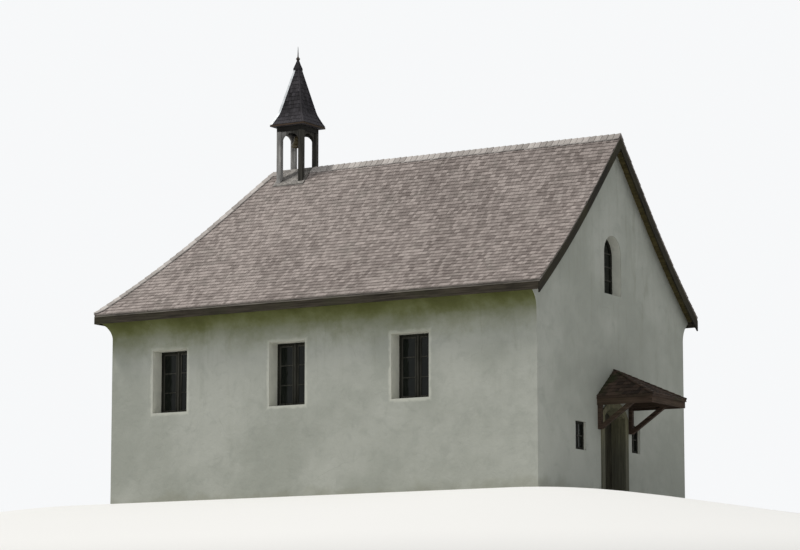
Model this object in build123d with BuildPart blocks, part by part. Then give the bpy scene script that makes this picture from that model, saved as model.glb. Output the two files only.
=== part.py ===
from build123d import *
from math import atan2, degrees, sqrt
import os

# Small rendered chapel: hipped at one end, gabled at the other, with a ridge turret and a porch canopy.
# Millimetres. X runs along the ridge towards the door gable, -Y is the sunny long wall, Z is up.
# The origin is the middle of the footprint, at the ground by the door.

# Masonry
length = 10800.0
width = 6900.0
wall_thickness = 600.0
floor_height = 120.0

# Roof line, measured to the top of the shingles
ridge_height = 7900.0
eave_height = 4310.0
eave_overhang = 310.0
verge_overhang = 240.0
hip_run = 2010.0
straight_run = 1250.0
bellcast_sag = 220.0

# Roof layers, as vertical depths below that line
shingle_depth = 80.0
board_depth = 50.0
rafter_depth = 190.0
shingle_lip = 40.0

# Roof timbers
rafter_width = 120.0
rafter_spacing = 900.0
hip_rafter_width = 150.0
plate_width = 160.0
plate_inset = 150.0
plate_notch = 40.0
collar_height = 6350.0
collar_depth = 160.0
collar_width = 60.0

# Boards, coves and caps at the roof's edges
fascia_height = 150.0
fascia_thickness = 28.0
barge_depth = 230.0
barge_thickness = 32.0
cove_height = 420.0
cove_nose = 60.0
cap_width = 130.0
cap_thickness = 40.0

# Windows of the long walls, each with two casements and a sloping sill
window_width = 920.0
window_height = 1400.0
window_sill = 2020.0
window_first = 3040.0
window_pitch = 3090.0
window_count = 3
window_reveal = 330.0
mullion_width = 100.0
sill_rise = 45.0
sill_nose = 12.0

# Round-headed window high in the gable
slit_width = 800.0
slit_height = 1290.0
slit_sill = 4400.0
slit_reveal = 220.0

# Small windows beside the door
left_light_y = -1550.0
left_light_width = 480.0
left_light_sill = 950.0
right_light_y = 1030.0
right_light_width = 400.0
right_light_sill = 1050.0
light_height = 600.0
light_reveal = 60.0

# Joinery of all the windows
sash_width = 55.0
sash_depth = 60.0
glass_thickness = 8.0
glass_rebate = 12.0

# Doorway and door. The width and the arch are those of the clear way in.
door_width = 960.0
door_spring = 1750.0
door_rise = 200.0
door_reveal = 320.0
door_head_room = 60.0
lining_width = 60.0
rebate_width = 25.0
architrave_width = 90.0
architrave_thickness = 25.0
leaf_thickness = 50.0
leaf_gap = 6.0
pintle_radius = 9.0
pintle_play = 0.5
pintle_offset = 24.0
pintle_height = 90.0
eye_wall = 7.0
strap_length = 620.0
strap_width = 55.0
strap_thickness = 7.0
strap_foot = 440.0
strap_below_spring = 160.0

# Canopy over the door
canopy_width = 1660.0
canopy_reach = 1330.0
canopy_above_door = 200.0
canopy_rise = 640.0
canopy_skin = 70.0
canopy_lip = 30.0
canopy_board = 28.0
canopy_board_height = 130.0
canopy_beam = 90.0
canopy_beam_rise = 50.0
bracket_height = 560.0
bracket_reach = 900.0
bracket_strut = 85.0

# Ridge turret
turret_from_ridge_end = 660.0
turret_width = 700.0
turret_post = 110.0
turret_rise = 980.0
turret_head_depth = 120.0
turret_arch_depth = 330.0
turret_arch_board = 40.0
turret_arch_lip = 7.0
apron_reach = 65.0
apron_thickness = 22.0
spire_overhang = 115.0
spire_edge = 45.0
flare_height = 340.0
flare_width = 640.0
spire_height = 1590.0
finial_height = 340.0
finial_radius = 14.0
finial_ball = 48.0
finial_tip = 3.0
finial_sides = 8

# Bell and its headstock
bell_radius = 155.0
bell_waist_radius = 105.0
bell_waist_height = 104.0
bell_crown_radius = 76.0
bell_height = 260.0
bell_wall = 18.0
bell_lip_wall = 40.0
bell_sides = 24
bell_drop = 70.0
bell_ear = 78.0
headstock_width = 90.0

# Fit between pieces that only touch
seat = 0.3

# Derived sizes of the roof
half_span = width / 2 + eave_overhang
gable_x = length / 2
hip_wall_x = -length / 2
hip_eave_x = hip_wall_x - eave_overhang
ridge_end_x = hip_wall_x + hip_run
verge_x = gable_x + verge_overhang
hip_scale = (ridge_end_x - hip_eave_x) / half_span
knee_run = (straight_run + half_span) / 2
chord_fall = (ridge_height - eave_height) / half_span
knee_height = ridge_height - chord_fall * knee_run - bellcast_sag
upper_fall = (ridge_height - knee_height) / knee_run
curve_height = ridge_height - upper_fall * straight_run

# The bell-cast below the straight part is one arc, tangent to it and ending at the eave
curve_start = Vector(straight_run, curve_height)
curve_chord = Vector(half_span, eave_height) - curve_start
curve_normal = Vector(upper_fall, 1).normalized()
curve_radius = curve_chord.length**2 / (2 * curve_normal.dot(curve_chord))
curve_centre = curve_start + curve_normal * curve_radius

deck_under = shingle_depth + board_depth
rafter_under = deck_under + rafter_depth

FRONT = -1
BACK = 1
pieces = {}


def roof_height(run):
    """Height of the shingled surface at this distance from the ridge line."""
    if run <= straight_run:
        return ridge_height - upper_fall * run
    return curve_centre.Y - sqrt(curve_radius**2 - (curve_centre.X - run) ** 2)


def roof_fall(run):
    """Fall of the bell-cast for each unit of distance from the ridge line."""
    return (curve_centre.X - run) / (curve_centre.Y - roof_height(run))


def roof_band(ridge_at, scale, top, bottom):
    """Draws the strip of one slope between two depths below the shingled surface."""

    def at(run, depth):
        return (ridge_at - scale * run, roof_height(run) - depth)

    with BuildSketch() as outline:
        with BuildLine():
            Line(at(0, top), at(straight_run, top))
            ThreePointArc(at(straight_run, top), at(knee_run, top), at(half_span, top))
            Line(at(half_span, top), at(half_span, bottom))
            ThreePointArc(at(half_span, bottom), at(knee_run, bottom), at(straight_run, bottom))
            Line(at(straight_run, bottom), at(0, bottom))
            Line(at(0, bottom), at(0, top))
        make_face()
    return outline.sketch_local


def under_roof(depth):
    """Draws the whole cross-section of the building below the roof line lowered by a depth."""
    with BuildSketch() as outline:
        with BuildLine():
            Line((0, 0), (-half_span, 0))
            Line((-half_span, 0), (-half_span, eave_height - depth))
            ThreePointArc(
                (-half_span, eave_height - depth),
                (-knee_run, roof_height(knee_run) - depth),
                (-straight_run, curve_height - depth),
            )
            Line((-straight_run, curve_height - depth), (0, ridge_height - depth))
            Line((0, ridge_height - depth), (0, 0))
        make_face()
        mirror(about=Plane.YZ)
    return outline.sketch_local


def hip_plane(side, shift):
    """Upright plane along a hip, moved towards the gable by shift. Its normal faces the gable."""
    along = Vector(ridge_end_x - hip_eave_x, -side * half_span, 0).normalized()
    normal = Vector(half_span, side * (ridge_end_x - hip_eave_x), 0).normalized()
    return Plane(origin=Vector(ridge_end_x, 0, 0) + normal * shift, x_dir=along, z_dir=normal)


def corner_plane(side):
    """Upright 45 degree plane through a hip-end corner, for the mitres of the coves."""
    corner = Vector(hip_wall_x, side * width / 2, 0)
    return Plane(origin=corner, x_dir=(1, -side, 0), z_dir=(1, side, 0))


def in_front_of_hip(shift):
    """Keeps what lies on the gable side of the front hip."""
    split(bisect_by=hip_plane(FRONT, shift), keep=Keep.TOP)


def behind_hips(shift):
    """Keeps what lies on the hip-end side of both hips."""
    split(bisect_by=hip_plane(FRONT, -shift), keep=Keep.BOTTOM)
    split(bisect_by=hip_plane(BACK, -shift), keep=Keep.BOTTOM)


def finish(name, builder):
    """Labels a finished piece and keeps it for export."""
    builder.part.label = name
    pieces[name] = builder.part


def finish_mirrored(name, builder):
    """Finishes the twin of a front piece at the back."""
    with BuildPart() as twin:
        mirror(builder.part, about=Plane.XZ)
    finish(name, twin)


# Long walls, laid in three courses: below the sills, between the windows and above them
wall_top = roof_height(width / 2) - rafter_under
window_head = window_sill + window_height
window_middle = window_sill + window_height / 2
window_places = [gable_x - window_first - i * window_pitch for i in range(window_count)]
long_wall_length = length - wall_thickness
long_wall_middle = gable_x - wall_thickness - long_wall_length / 2
front_wall_axis = wall_thickness / 2 - width / 2


def wall_course(name, foot, top, openings):
    """Finishes one course of the front wall and its twin at the back, cut through at the openings."""
    with BuildPart() as course:
        with BuildSketch(Plane.XY.offset(foot)):
            with Locations((long_wall_middle, front_wall_axis)):
                Rectangle(long_wall_length, wall_thickness)
            for place in openings:
                with Locations((place, front_wall_axis)):
                    Rectangle(window_width, wall_thickness, mode=Mode.SUBTRACT)
        extrude(amount=top - foot)
    finish("front_wall_" + name, course)
    finish_mirrored("back_wall_" + name, course)


wall_course("base", 0, window_sill, [])
wall_course("piers", window_sill, window_head, window_places)
wall_course("top", window_head, wall_top, [])

hip_wall_top = roof_height(hip_run / hip_scale) - rafter_under
between_walls = width - 2 * wall_thickness
with BuildPart() as hip_end_wall:
    with BuildSketch(Plane.YZ.offset(hip_wall_x)):
        with Locations((0, hip_wall_top / 2)):
            Rectangle(between_walls, hip_wall_top)
    extrude(amount=wall_thickness)
finish("hip_end_wall", hip_end_wall)


# Outlines in the gable, each drawn larger by a margin, or smaller where it is negative
door_crown = door_spring + door_rise
masonry_width = door_width + 2 * lining_width
slit_straight = slit_height - slit_width / 2


def doorway(margin, foot):
    """Draws the doorway, a segmental arch on straight jambs."""
    half = door_width / 2 + margin
    with BuildSketch() as outline:
        with BuildLine():
            Line((-half, foot), (-half, door_spring))
            ThreePointArc((-half, door_spring), (0, door_crown + margin), (half, door_spring))
            Line((half, door_spring), (half, foot))
            Line((half, foot), (-half, foot))
        make_face()
    return outline.sketch_local


def slit(margin):
    """Draws the round-headed window of the gable."""
    with BuildSketch() as outline:
        with Locations((0, slit_sill - margin + (slit_straight + margin) / 2)):
            Rectangle(slit_width + 2 * margin, slit_straight + margin)
        with Locations((0, slit_sill + slit_straight)):
            Circle(slit_width / 2 + margin)
    return outline.sketch_local


def porch_lights(margin):
    """Draws the small windows beside the door."""
    with BuildSketch() as outline:
        with Locations((left_light_y, left_light_sill + light_height / 2)):
            Rectangle(left_light_width + 2 * margin, light_height + 2 * margin)
        with Locations((right_light_y, right_light_sill + light_height / 2)):
            Rectangle(right_light_width + 2 * margin, light_height + 2 * margin)
    return outline.sketch_local


# Gable wall, in courses like the long walls, stepped to the small windows on each side of the door
pier_width = (width - masonry_width) / 2
pier_middle = (width + masonry_width) / 4
gable_sides = (
    (FRONT * pier_middle, left_light_sill, left_light_sill + light_height),
    (BACK * pier_middle, right_light_sill, right_light_sill + light_height),
)

with BuildPart() as gable_wall_base:
    with BuildSketch(Plane.YZ.offset(gable_x)):
        for middle, sill, head in gable_sides:
            with Locations((middle, sill / 2)):
                Rectangle(pier_width, sill)
    extrude(amount=-wall_thickness)
finish("gable_wall_base", gable_wall_base)

with BuildPart() as gable_wall_piers:
    with BuildSketch(Plane.YZ.offset(gable_x)):
        for middle, sill, head in gable_sides:
            with Locations((middle, (sill + head) / 2)):
                Rectangle(pier_width, light_height)
        add(porch_lights(0), mode=Mode.SUBTRACT)
    extrude(amount=-wall_thickness)
finish("gable_wall_piers", gable_wall_piers)

with BuildPart() as gable_wall_top:
    with BuildSketch(Plane.YZ.offset(gable_x)):
        add(under_roof(deck_under))
        with Locations((0, ridge_height / 2)):
            Rectangle(width, ridge_height, mode=Mode.INTERSECT)
        for middle, sill, head in gable_sides:
            with Locations((middle, head / 2)):
                Rectangle(pier_width, head, mode=Mode.SUBTRACT)
        add(slit(0), mode=Mode.SUBTRACT)
        add(doorway(lining_width, 0), mode=Mode.SUBTRACT)
    extrude(amount=-wall_thickness)
    with BuildSketch(Plane.YZ.offset(gable_x - wall_thickness)):
        with Locations((0, (door_crown + lining_width + door_head_room) / 2)):
            Rectangle(masonry_width, door_crown + lining_width + door_head_room)
    extrude(amount=wall_thickness - door_reveal - leaf_thickness, mode=Mode.SUBTRACT)
finish("gable_wall_top", gable_wall_top)

with BuildPart() as floor_slab:
    with BuildSketch():
        Rectangle(length - 2 * wall_thickness, between_walls)
    extrude(amount=floor_height)
finish("floor_slab", floor_slab)

with BuildPart() as door_sill:
    with BuildSketch():
        with Locations((gable_x - wall_thickness / 2, 0)):
            Rectangle(wall_thickness, masonry_width)
    extrude(amount=floor_height)
finish("door_sill", door_sill)


# Plastered coves under the eaves
board_edge = half_span - shingle_lip
cove_depth = eave_overhang - shingle_lip
cove_tip = roof_height(board_edge) - deck_under - cove_nose - seat
cove_foot = cove_tip - cove_height


def cove_outline(wall_at, run_scale):
    """Draws a cove: a hollow arc from the wall to a square nose, and a top along the slope above."""
    nose_at = wall_at - cove_depth
    nose_top = cove_tip + cove_nose
    cove_top = nose_top + roof_fall(board_edge) * cove_depth / run_scale
    with BuildSketch() as outline:
        with BuildLine():
            TangentArc((wall_at, cove_foot), (nose_at, cove_tip), tangent=(0, 1))
            Line((nose_at, cove_tip), (nose_at, nose_top))
            Line((nose_at, nose_top), (wall_at, cove_top))
            Line((wall_at, cove_top), (wall_at, cove_foot))
        make_face()
    return outline.sketch_local


with BuildPart() as eaves_cove_front:
    with BuildSketch(Plane.YZ.offset(hip_eave_x)):
        add(cove_outline(-width / 2, 1.0))
    extrude(amount=gable_x - hip_eave_x)
    split(bisect_by=corner_plane(FRONT), keep=Keep.TOP)
finish("eaves_cove_front", eaves_cove_front)
finish_mirrored("eaves_cove_back", eaves_cove_front)

with BuildPart() as eaves_cove_hip:
    with BuildSketch(Plane.XZ.offset(-half_span)):
        add(cove_outline(hip_wall_x, hip_scale))
    extrude(amount=2 * half_span)
    split(bisect_by=corner_plane(FRONT), keep=Keep.BOTTOM)
    split(bisect_by=corner_plane(BACK), keep=Keep.BOTTOM)
    with BuildSketch(Plane.YZ.offset(hip_eave_x)):
        add(under_roof(deck_under + seat))
    extrude(amount=hip_run, mode=Mode.INTERSECT)
finish("eaves_cove_hip", eaves_cove_hip)


# Shingled slopes
with BuildPart() as shingles_front:
    with BuildSketch(Plane.YZ.offset(hip_eave_x)):
        add(roof_band(0, 1.0, 0, shingle_depth))
    extrude(amount=verge_x - hip_eave_x)
    in_front_of_hip(0)
finish("shingles_front", shingles_front)
finish_mirrored("shingles_back", shingles_front)

with BuildPart() as shingles_hip:
    with BuildSketch(Plane.XZ.offset(-half_span)):
        add(roof_band(ridge_end_x, hip_scale, 0, shingle_depth))
    extrude(amount=2 * half_span)
    behind_hips(0)
finish("shingles_hip", shingles_hip)

# Boarding under the shingles, set back from their edges
with BuildPart() as boarding_front:
    with BuildSketch(Plane.YZ.offset(hip_eave_x + shingle_lip)):
        add(roof_band(0, 1.0, shingle_depth, deck_under))
    extrude(amount=verge_x - hip_eave_x - 2 * shingle_lip)
    in_front_of_hip(0)
    split(bisect_by=Plane.XZ.offset(board_edge), keep=Keep.BOTTOM)
finish("boarding_front", boarding_front)
finish_mirrored("boarding_back", boarding_front)

with BuildPart() as boarding_hip:
    with BuildSketch(Plane.XZ.offset(-board_edge)):
        add(roof_band(ridge_end_x, hip_scale, shingle_depth, deck_under))
    extrude(amount=2 * board_edge)
    behind_hips(0)
    split(bisect_by=Plane.YZ.offset(hip_eave_x + shingle_lip), keep=Keep.TOP)
finish("boarding_hip", boarding_hip)


# Wall plates on the long walls and on the hip-end wall between them
plate_run = width / 2 - plate_inset
plate_height = roof_height(plate_run) - rafter_under + plate_notch - wall_top
plate_end = gable_x - wall_thickness
plate_start = hip_wall_x + plate_inset
hip_plate_run = (ridge_end_x - plate_start) / hip_scale
hip_plate_height = roof_height(hip_plate_run) - rafter_under + plate_notch - hip_wall_top

with BuildPart() as wall_plates:
    with BuildSketch(Plane.XY.offset(wall_top)):
        with Locations(((plate_start + plate_end) / 2, 0)):
            with GridLocations(0, 2 * plate_run, 1, 2):
                Rectangle(plate_end - plate_start, plate_width)
    extrude(amount=plate_height)
    with BuildSketch(Plane.XY.offset(hip_wall_top)):
        with Locations((plate_start, 0)):
            Rectangle(plate_width, between_walls)
    extrude(amount=hip_plate_height)
finish("wall_plates", wall_plates)


# Rafters, notched over the wall plates, with jack rafters cut against the hip rafters
first_rafter = gable_x - wall_thickness - rafter_width / 2 - seat
rafter_count = int((first_rafter - hip_wall_x - wall_thickness) / rafter_spacing) + 1
rafter_places = [first_rafter - i * rafter_spacing for i in range(rafter_count)]
hip_rafter_count = int((width / 2 - wall_thickness) / rafter_spacing) * 2 - 1
hip_rafter_places = [
    (i - (hip_rafter_count - 1) / 2) * rafter_spacing for i in range(hip_rafter_count)
]
hip_rafter_side = hip_rafter_width / 2

with BuildPart() as rafters_front:
    for place in rafter_places:
        with BuildSketch(Plane.YZ.offset(place - rafter_width / 2)):
            add(roof_band(0, 1.0, deck_under, rafter_under))
        extrude(amount=rafter_width)
    in_front_of_hip(hip_rafter_side)
    split(bisect_by=Plane.XZ.offset(width / 2), keep=Keep.BOTTOM)
    add(wall_plates.part, mode=Mode.SUBTRACT)
finish("rafters_front", rafters_front)
finish_mirrored("rafters_back", rafters_front)

with BuildPart() as rafters_hip:
    for place in hip_rafter_places:
        with BuildSketch(Plane.XZ.offset(-place - rafter_width / 2)):
            add(roof_band(ridge_end_x, hip_scale, deck_under, rafter_under))
        extrude(amount=rafter_width)
    behind_hips(hip_rafter_side)
    split(bisect_by=Plane.YZ.offset(hip_wall_x), keep=Keep.TOP)
    add(wall_plates.part, mode=Mode.SUBTRACT)
finish("rafters_hip", rafters_hip)


def hip_strip(top, bottom, half_width):
    """Folded strip along the front hip, between two depths below the shingled surface."""
    with BuildPart() as front_half:
        with BuildSketch(Plane.YZ.offset(hip_eave_x)):
            add(roof_band(0, 1.0, top, bottom))
        extrude(amount=verge_x - hip_eave_x)
        split(bisect_by=hip_plane(FRONT, 0), keep=Keep.TOP)
        split(bisect_by=hip_plane(FRONT, half_width), keep=Keep.BOTTOM)
    with BuildPart() as end_half:
        with BuildSketch(Plane.XZ.offset(-half_span)):
            add(roof_band(ridge_end_x, hip_scale, top, bottom))
        extrude(amount=2 * half_span)
        split(bisect_by=hip_plane(FRONT, 0), keep=Keep.BOTTOM)
        split(bisect_by=hip_plane(FRONT, -half_width), keep=Keep.TOP)
        split(bisect_by=Plane.XZ, keep=Keep.TOP)
    with BuildPart() as strip:
        add(front_half.part)
        add(end_half.part)
    return strip.part


with BuildPart() as hip_rafters:
    add(hip_strip(deck_under, rafter_under, hip_rafter_side))
    split(bisect_by=Plane.XZ.offset(width / 2), keep=Keep.BOTTOM)
    split(bisect_by=Plane.YZ.offset(hip_wall_x), keep=Keep.TOP)
    add(wall_plates.part, mode=Mode.SUBTRACT)
    mirror(about=Plane.XZ)
finish("hip_rafters", hip_rafters)

# Collar beams, on every second pair of rafters
collar_start = ridge_end_x + hip_rafter_width
collar_places = [x for x in rafter_places[1::2] if x > collar_start]
with BuildPart() as collar_beams:
    for place in collar_places:
        with BuildSketch(Plane.YZ.offset(place + rafter_width / 2)):
            add(under_roof(deck_under))
            with Locations((0, collar_height)):
                Rectangle(width, collar_depth, mode=Mode.INTERSECT)
        extrude(amount=collar_width)
finish("collar_beams", collar_beams)


# Boards and caps that close the roof's edges
fascia_top = eave_height - shingle_depth
boarded_length = verge_x - hip_eave_x - 2 * shingle_lip
with BuildPart() as eaves_boards:
    with BuildSketch(Plane.XY.offset(fascia_top - fascia_height)):
        with Locations(((hip_eave_x + verge_x) / 2, 0)):
            Rectangle(boarded_length + 2 * fascia_thickness, 2 * (board_edge + fascia_thickness))
            Rectangle(boarded_length, 2 * board_edge, mode=Mode.SUBTRACT)
    extrude(amount=fascia_height)
    split(bisect_by=Plane.YZ.offset(verge_x - shingle_lip), keep=Keep.BOTTOM)
finish("eaves_boards", eaves_boards)

with BuildPart() as verge_boards:
    with BuildSketch(Plane.YZ.offset(verge_x - shingle_lip)):
        add(roof_band(0, 1.0, shingle_depth, shingle_depth + barge_depth))
    extrude(amount=barge_thickness)
    mirror(about=Plane.XZ)
finish("verge_boards", verge_boards)

turret_x = ridge_end_x + turret_from_ridge_end
apron_side = turret_width / 2 + apron_reach

with BuildPart() as roof_caps:
    with BuildSketch(Plane.YZ.offset(turret_x + apron_side)):
        add(roof_band(0, 1.0, -cap_thickness, 0))
    extrude(amount=verge_x - turret_x - apron_side)
    with BuildSketch(Plane.YZ.offset(ridge_end_x)):
        add(roof_band(0, 1.0, -cap_thickness, 0))
    extrude(amount=turret_x - apron_side - ridge_end_x)
    split(bisect_by=Plane.XZ.offset(cap_width), keep=Keep.BOTTOM)
    add(hip_strip(-cap_thickness, 0, cap_width))
    mirror(about=Plane.XZ)
finish("roof_caps", roof_caps)


# Windows
glass_setback = (sash_depth - glass_thickness) / 2
pane_width = (window_width - 2 * sash_width - mullion_width) / 2
pane_height = window_height - 2 * sash_width
pane_pitch = pane_width + mullion_width


def joinery(face, depth, outer, panes):
    """Frame and glass set at a depth behind a wall face. The panes draw themselves grown by a margin."""
    with BuildPart() as frame:
        with BuildSketch(face.offset(-depth)):
            add(outer)
            add(panes(0), mode=Mode.SUBTRACT)
        extrude(amount=-sash_depth)
        with BuildSketch(face.offset(-depth - glass_setback)):
            add(panes(glass_rebate))
        extrude(amount=-glass_thickness, mode=Mode.SUBTRACT)
    with BuildPart() as glass:
        with BuildSketch(face.offset(-depth - glass_setback)):
            add(panes(glass_rebate))
        extrude(amount=-glass_thickness)
    return frame.part, glass.part


def casement_panes(margin):
    """Draws the two panes of each window in a long wall."""
    with BuildSketch() as outline:
        for place in window_places:
            with Locations((place, window_middle)):
                with GridLocations(pane_pitch, 0, 2, 1):
                    Rectangle(pane_width + 2 * margin, pane_height + 2 * margin)
    return outline.sketch_local


with BuildSketch() as window_openings:
    with Locations(*[(place, window_middle) for place in window_places]):
        Rectangle(window_width, window_height)

front_face = Plane.XZ.offset(width / 2)
gable_face = Plane.YZ.offset(gable_x)
long_wall_joinery = joinery(
    front_face, window_reveal, window_openings.sketch_local, casement_panes
)
slit_joinery = joinery(
    gable_face, slit_reveal, slit(0), lambda margin: slit(margin - sash_width)
)
light_joinery = joinery(
    gable_face, light_reveal, porch_lights(0), lambda margin: porch_lights(margin - sash_width)
)

with BuildPart() as window_frames:
    add(long_wall_joinery[0])
    mirror(about=Plane.XZ)
    add(slit_joinery[0])
    add(light_joinery[0])
finish("window_frames", window_frames)

with BuildPart() as window_glass:
    add(long_wall_joinery[1])
    mirror(about=Plane.XZ)
    add(slit_joinery[1])
    add(light_joinery[1])
finish("window_glass", window_glass)

sill_front = -width / 2
sill_back = sill_front + window_reveal
with BuildPart() as window_sills:
    for place in window_places:
        with BuildSketch(Plane.YZ.offset(place - window_width / 2)):
            with BuildLine():
                Polyline(
                    (sill_front, window_sill),
                    (sill_back, window_sill),
                    (sill_back, window_sill + sill_rise),
                    (sill_front, window_sill + sill_nose),
                    close=True,
                )
            make_face()
        extrude(amount=window_width)
    mirror(about=Plane.XZ)
finish("window_sills", window_sills)


# Doorway: deep lining with a rebate, and an architrave on the wall
lining_back = gable_x - door_reveal
frame_back = lining_back - leaf_thickness
with BuildPart() as door_frame:
    with BuildSketch(Plane.YZ.offset(gable_x)):
        add(doorway(lining_width, floor_height))
        add(doorway(0, 0), mode=Mode.SUBTRACT)
    extrude(amount=-door_reveal)
    with BuildSketch(Plane.YZ.offset(lining_back)):
        add(doorway(lining_width, floor_height))
        add(doorway(rebate_width, 0), mode=Mode.SUBTRACT)
    extrude(amount=-leaf_thickness)
    with BuildSketch(Plane.YZ.offset(gable_x)):
        add(doorway(lining_width + architrave_width, floor_height))
        add(doorway(0, 0), mode=Mode.SUBTRACT)
    extrude(amount=architrave_thickness)
finish("door_frame", door_frame)

# Leaf and its straps, which turn on pintles behind the frame
leaf_margin = rebate_width - leaf_gap
leaf_face = lining_back - leaf_gap
leaf_back = leaf_face - leaf_thickness
pintle_x = leaf_back - pintle_offset
pintle_y = door_width / 2 + leaf_margin + pintle_radius
strap_heights = (strap_foot, door_spring - strap_below_spring)
eye_radius = pintle_radius + pintle_play + eye_wall

with BuildPart() as door_leaf:
    with BuildSketch(Plane.YZ.offset(leaf_face)):
        add(doorway(leaf_margin, floor_height + leaf_gap))
    extrude(amount=-leaf_thickness)
finish("door_leaf", door_leaf)

with BuildPart() as door_straps:
    for height in strap_heights:
        with BuildSketch(Plane.XY.offset(height - strap_width / 2)):
            with Locations((leaf_back - strap_thickness / 2, pintle_y - strap_length / 2)):
                Rectangle(strap_thickness, strap_length)
            with Locations((pintle_x, pintle_y)):
                Circle(eye_radius)
            with Locations(
                ((pintle_x + leaf_back) / 2, pintle_y - eye_radius + strap_thickness / 2)
            ):
                Rectangle(pintle_offset, strap_thickness)
            with Locations((pintle_x, pintle_y)):
                Circle(pintle_radius + pintle_play, mode=Mode.SUBTRACT)
        extrude(amount=strap_width)
finish("door_straps", door_straps)

pintle_plate_width = masonry_width / 2 - seat - pintle_y
with BuildPart() as door_pintles:
    for height in strap_heights:
        pintle_foot = height - (strap_width + pintle_height) / 2
        with BuildSketch(Plane.XY.offset(pintle_foot)):
            with Locations((pintle_x, pintle_y)):
                Circle(pintle_radius)
        extrude(amount=pintle_height / 2 + strap_width + pintle_radius)
        with BuildSketch(Plane.XY.offset(pintle_foot)):
            with Locations((pintle_x, pintle_y)):
                Circle(eye_radius)
            with Locations(((pintle_x + frame_back) / 2, pintle_y + pintle_plate_width / 2)):
                Rectangle(frame_back - pintle_x, pintle_plate_width)
        extrude(amount=pintle_height / 2 - leaf_gap)
finish("door_pintles", door_pintles)


# Canopy: a half pyramid against the gable, with boards, beams and two knee brackets
canopy_eave = door_crown + canopy_above_door
canopy_low = canopy_eave - canopy_skin
canopy_half = canopy_width / 2
canopy_middle = gable_x + canopy_reach / 2


def half_pyramid(foot):
    """Half pyramid of the canopy's size against the gable, standing at this height."""
    apex = foot + canopy_rise
    with BuildPart() as solid:
        with BuildSketch(Plane.YZ.offset(gable_x)):
            with BuildLine():
                Polyline((-canopy_half, foot), (0, apex), (canopy_half, foot), close=True)
            make_face()
        extrude(amount=canopy_reach)
        with BuildSketch(Plane.XZ.offset(-canopy_half)):
            with BuildLine():
                Polyline((gable_x, foot), (gable_x, apex), (gable_x + canopy_reach, foot), close=True)
            make_face()
        extrude(amount=canopy_width, mode=Mode.INTERSECT)
    return solid.part


def three_sides(reach, half, thickness):
    """Draws a band along the canopy's two sides and its front."""
    with Locations((gable_x + reach / 2, 0)):
        Rectangle(reach, 2 * half)
    with Locations((gable_x + (reach - thickness) / 2, 0)):
        Rectangle(reach - thickness, 2 * (half - thickness), mode=Mode.SUBTRACT)


with BuildPart() as canopy_roof:
    with BuildSketch(Plane.XY.offset(canopy_low)):
        with Locations((canopy_middle, 0)):
            Rectangle(canopy_reach, canopy_width)
    extrude(amount=canopy_skin)
    add(half_pyramid(canopy_eave))
    add(half_pyramid(canopy_low), mode=Mode.SUBTRACT)
finish("canopy_roof", canopy_roof)

with BuildPart() as under_canopy:
    with BuildSketch():
        with Locations((canopy_middle, 0)):
            Rectangle(canopy_reach, canopy_width)
    extrude(amount=canopy_low)
    add(half_pyramid(canopy_low))

board_reach = canopy_reach - canopy_lip
board_half = canopy_half - canopy_lip
board_foot = canopy_low - canopy_board_height
beam_foot = board_foot + canopy_beam_rise
knee_y = board_half - canopy_board - canopy_beam / 2
bracket_foot = beam_foot - bracket_height
strut_slant = Vector(bracket_reach - bracket_strut, bracket_height).length
strut_across = bracket_strut * strut_slant / bracket_height
strut_upright = bracket_strut * strut_slant / (bracket_reach - bracket_strut)

with BuildPart() as canopy_frame:
    with BuildSketch(Plane.XY.offset(board_foot)):
        three_sides(board_reach, board_half, canopy_board)
    extrude(amount=canopy_board_height + canopy_rise)
    with BuildSketch(Plane.XY.offset(beam_foot)):
        three_sides(board_reach, board_half, canopy_board + canopy_beam)
    extrude(amount=canopy_low + canopy_rise - beam_foot)
    add(under_canopy.part, mode=Mode.INTERSECT)
    for side in (FRONT, BACK):
        with BuildSketch(Plane.XZ.offset(side * knee_y)):
            with BuildLine():
                Polyline(
                    (gable_x, beam_foot),
                    (gable_x + bracket_reach, beam_foot),
                    (gable_x + bracket_strut, bracket_foot),
                    (gable_x, bracket_foot),
                    close=True,
                )
            make_face()
            with BuildLine():
                Polyline(
                    (gable_x + bracket_strut, beam_foot),
                    (gable_x + bracket_reach - strut_across, beam_foot),
                    (gable_x + bracket_strut, bracket_foot + strut_upright),
                    close=True,
                )
            make_face(mode=Mode.SUBTRACT)
        extrude(amount=canopy_beam / 2, both=True)
finish("canopy_frame", canopy_frame)


# Ridge turret
turret_eave = ridge_height + turret_rise
turret_side = turret_width / 2
post_reach = turret_side - turret_post / 2
head_foot = turret_eave - turret_head_depth
arch_span = turret_width - 2 * turret_post
arch_foot = head_foot - turret_arch_depth
arch_radius = arch_span / 2 - turret_arch_lip
arch_spring = head_foot - turret_arch_board - arch_radius

with BuildPart() as turret_apron:
    with BuildSketch(Plane.YZ.offset(turret_x - apron_side)):
        add(under_roof(-apron_thickness))
        add(under_roof(0), mode=Mode.SUBTRACT)
    extrude(amount=2 * apron_side)
    split(bisect_by=Plane.XZ.offset(apron_side), keep=Keep.BOTTOM)
    split(bisect_by=Plane.XZ.offset(-apron_side), keep=Keep.TOP)
finish("turret_apron", turret_apron)

with BuildPart() as turret_posts:
    with BuildSketch(Plane.XY.offset(eave_height)):
        with Locations((turret_x, 0)):
            with GridLocations(2 * post_reach, 2 * post_reach, 2, 2):
                Rectangle(turret_post, turret_post)
    extrude(amount=head_foot - eave_height)
    with BuildSketch(Plane.YZ.offset(turret_x - turret_width)):
        add(under_roof(-apron_thickness))
    extrude(amount=2 * turret_width, mode=Mode.SUBTRACT)
finish("turret_posts", turret_posts)


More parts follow.
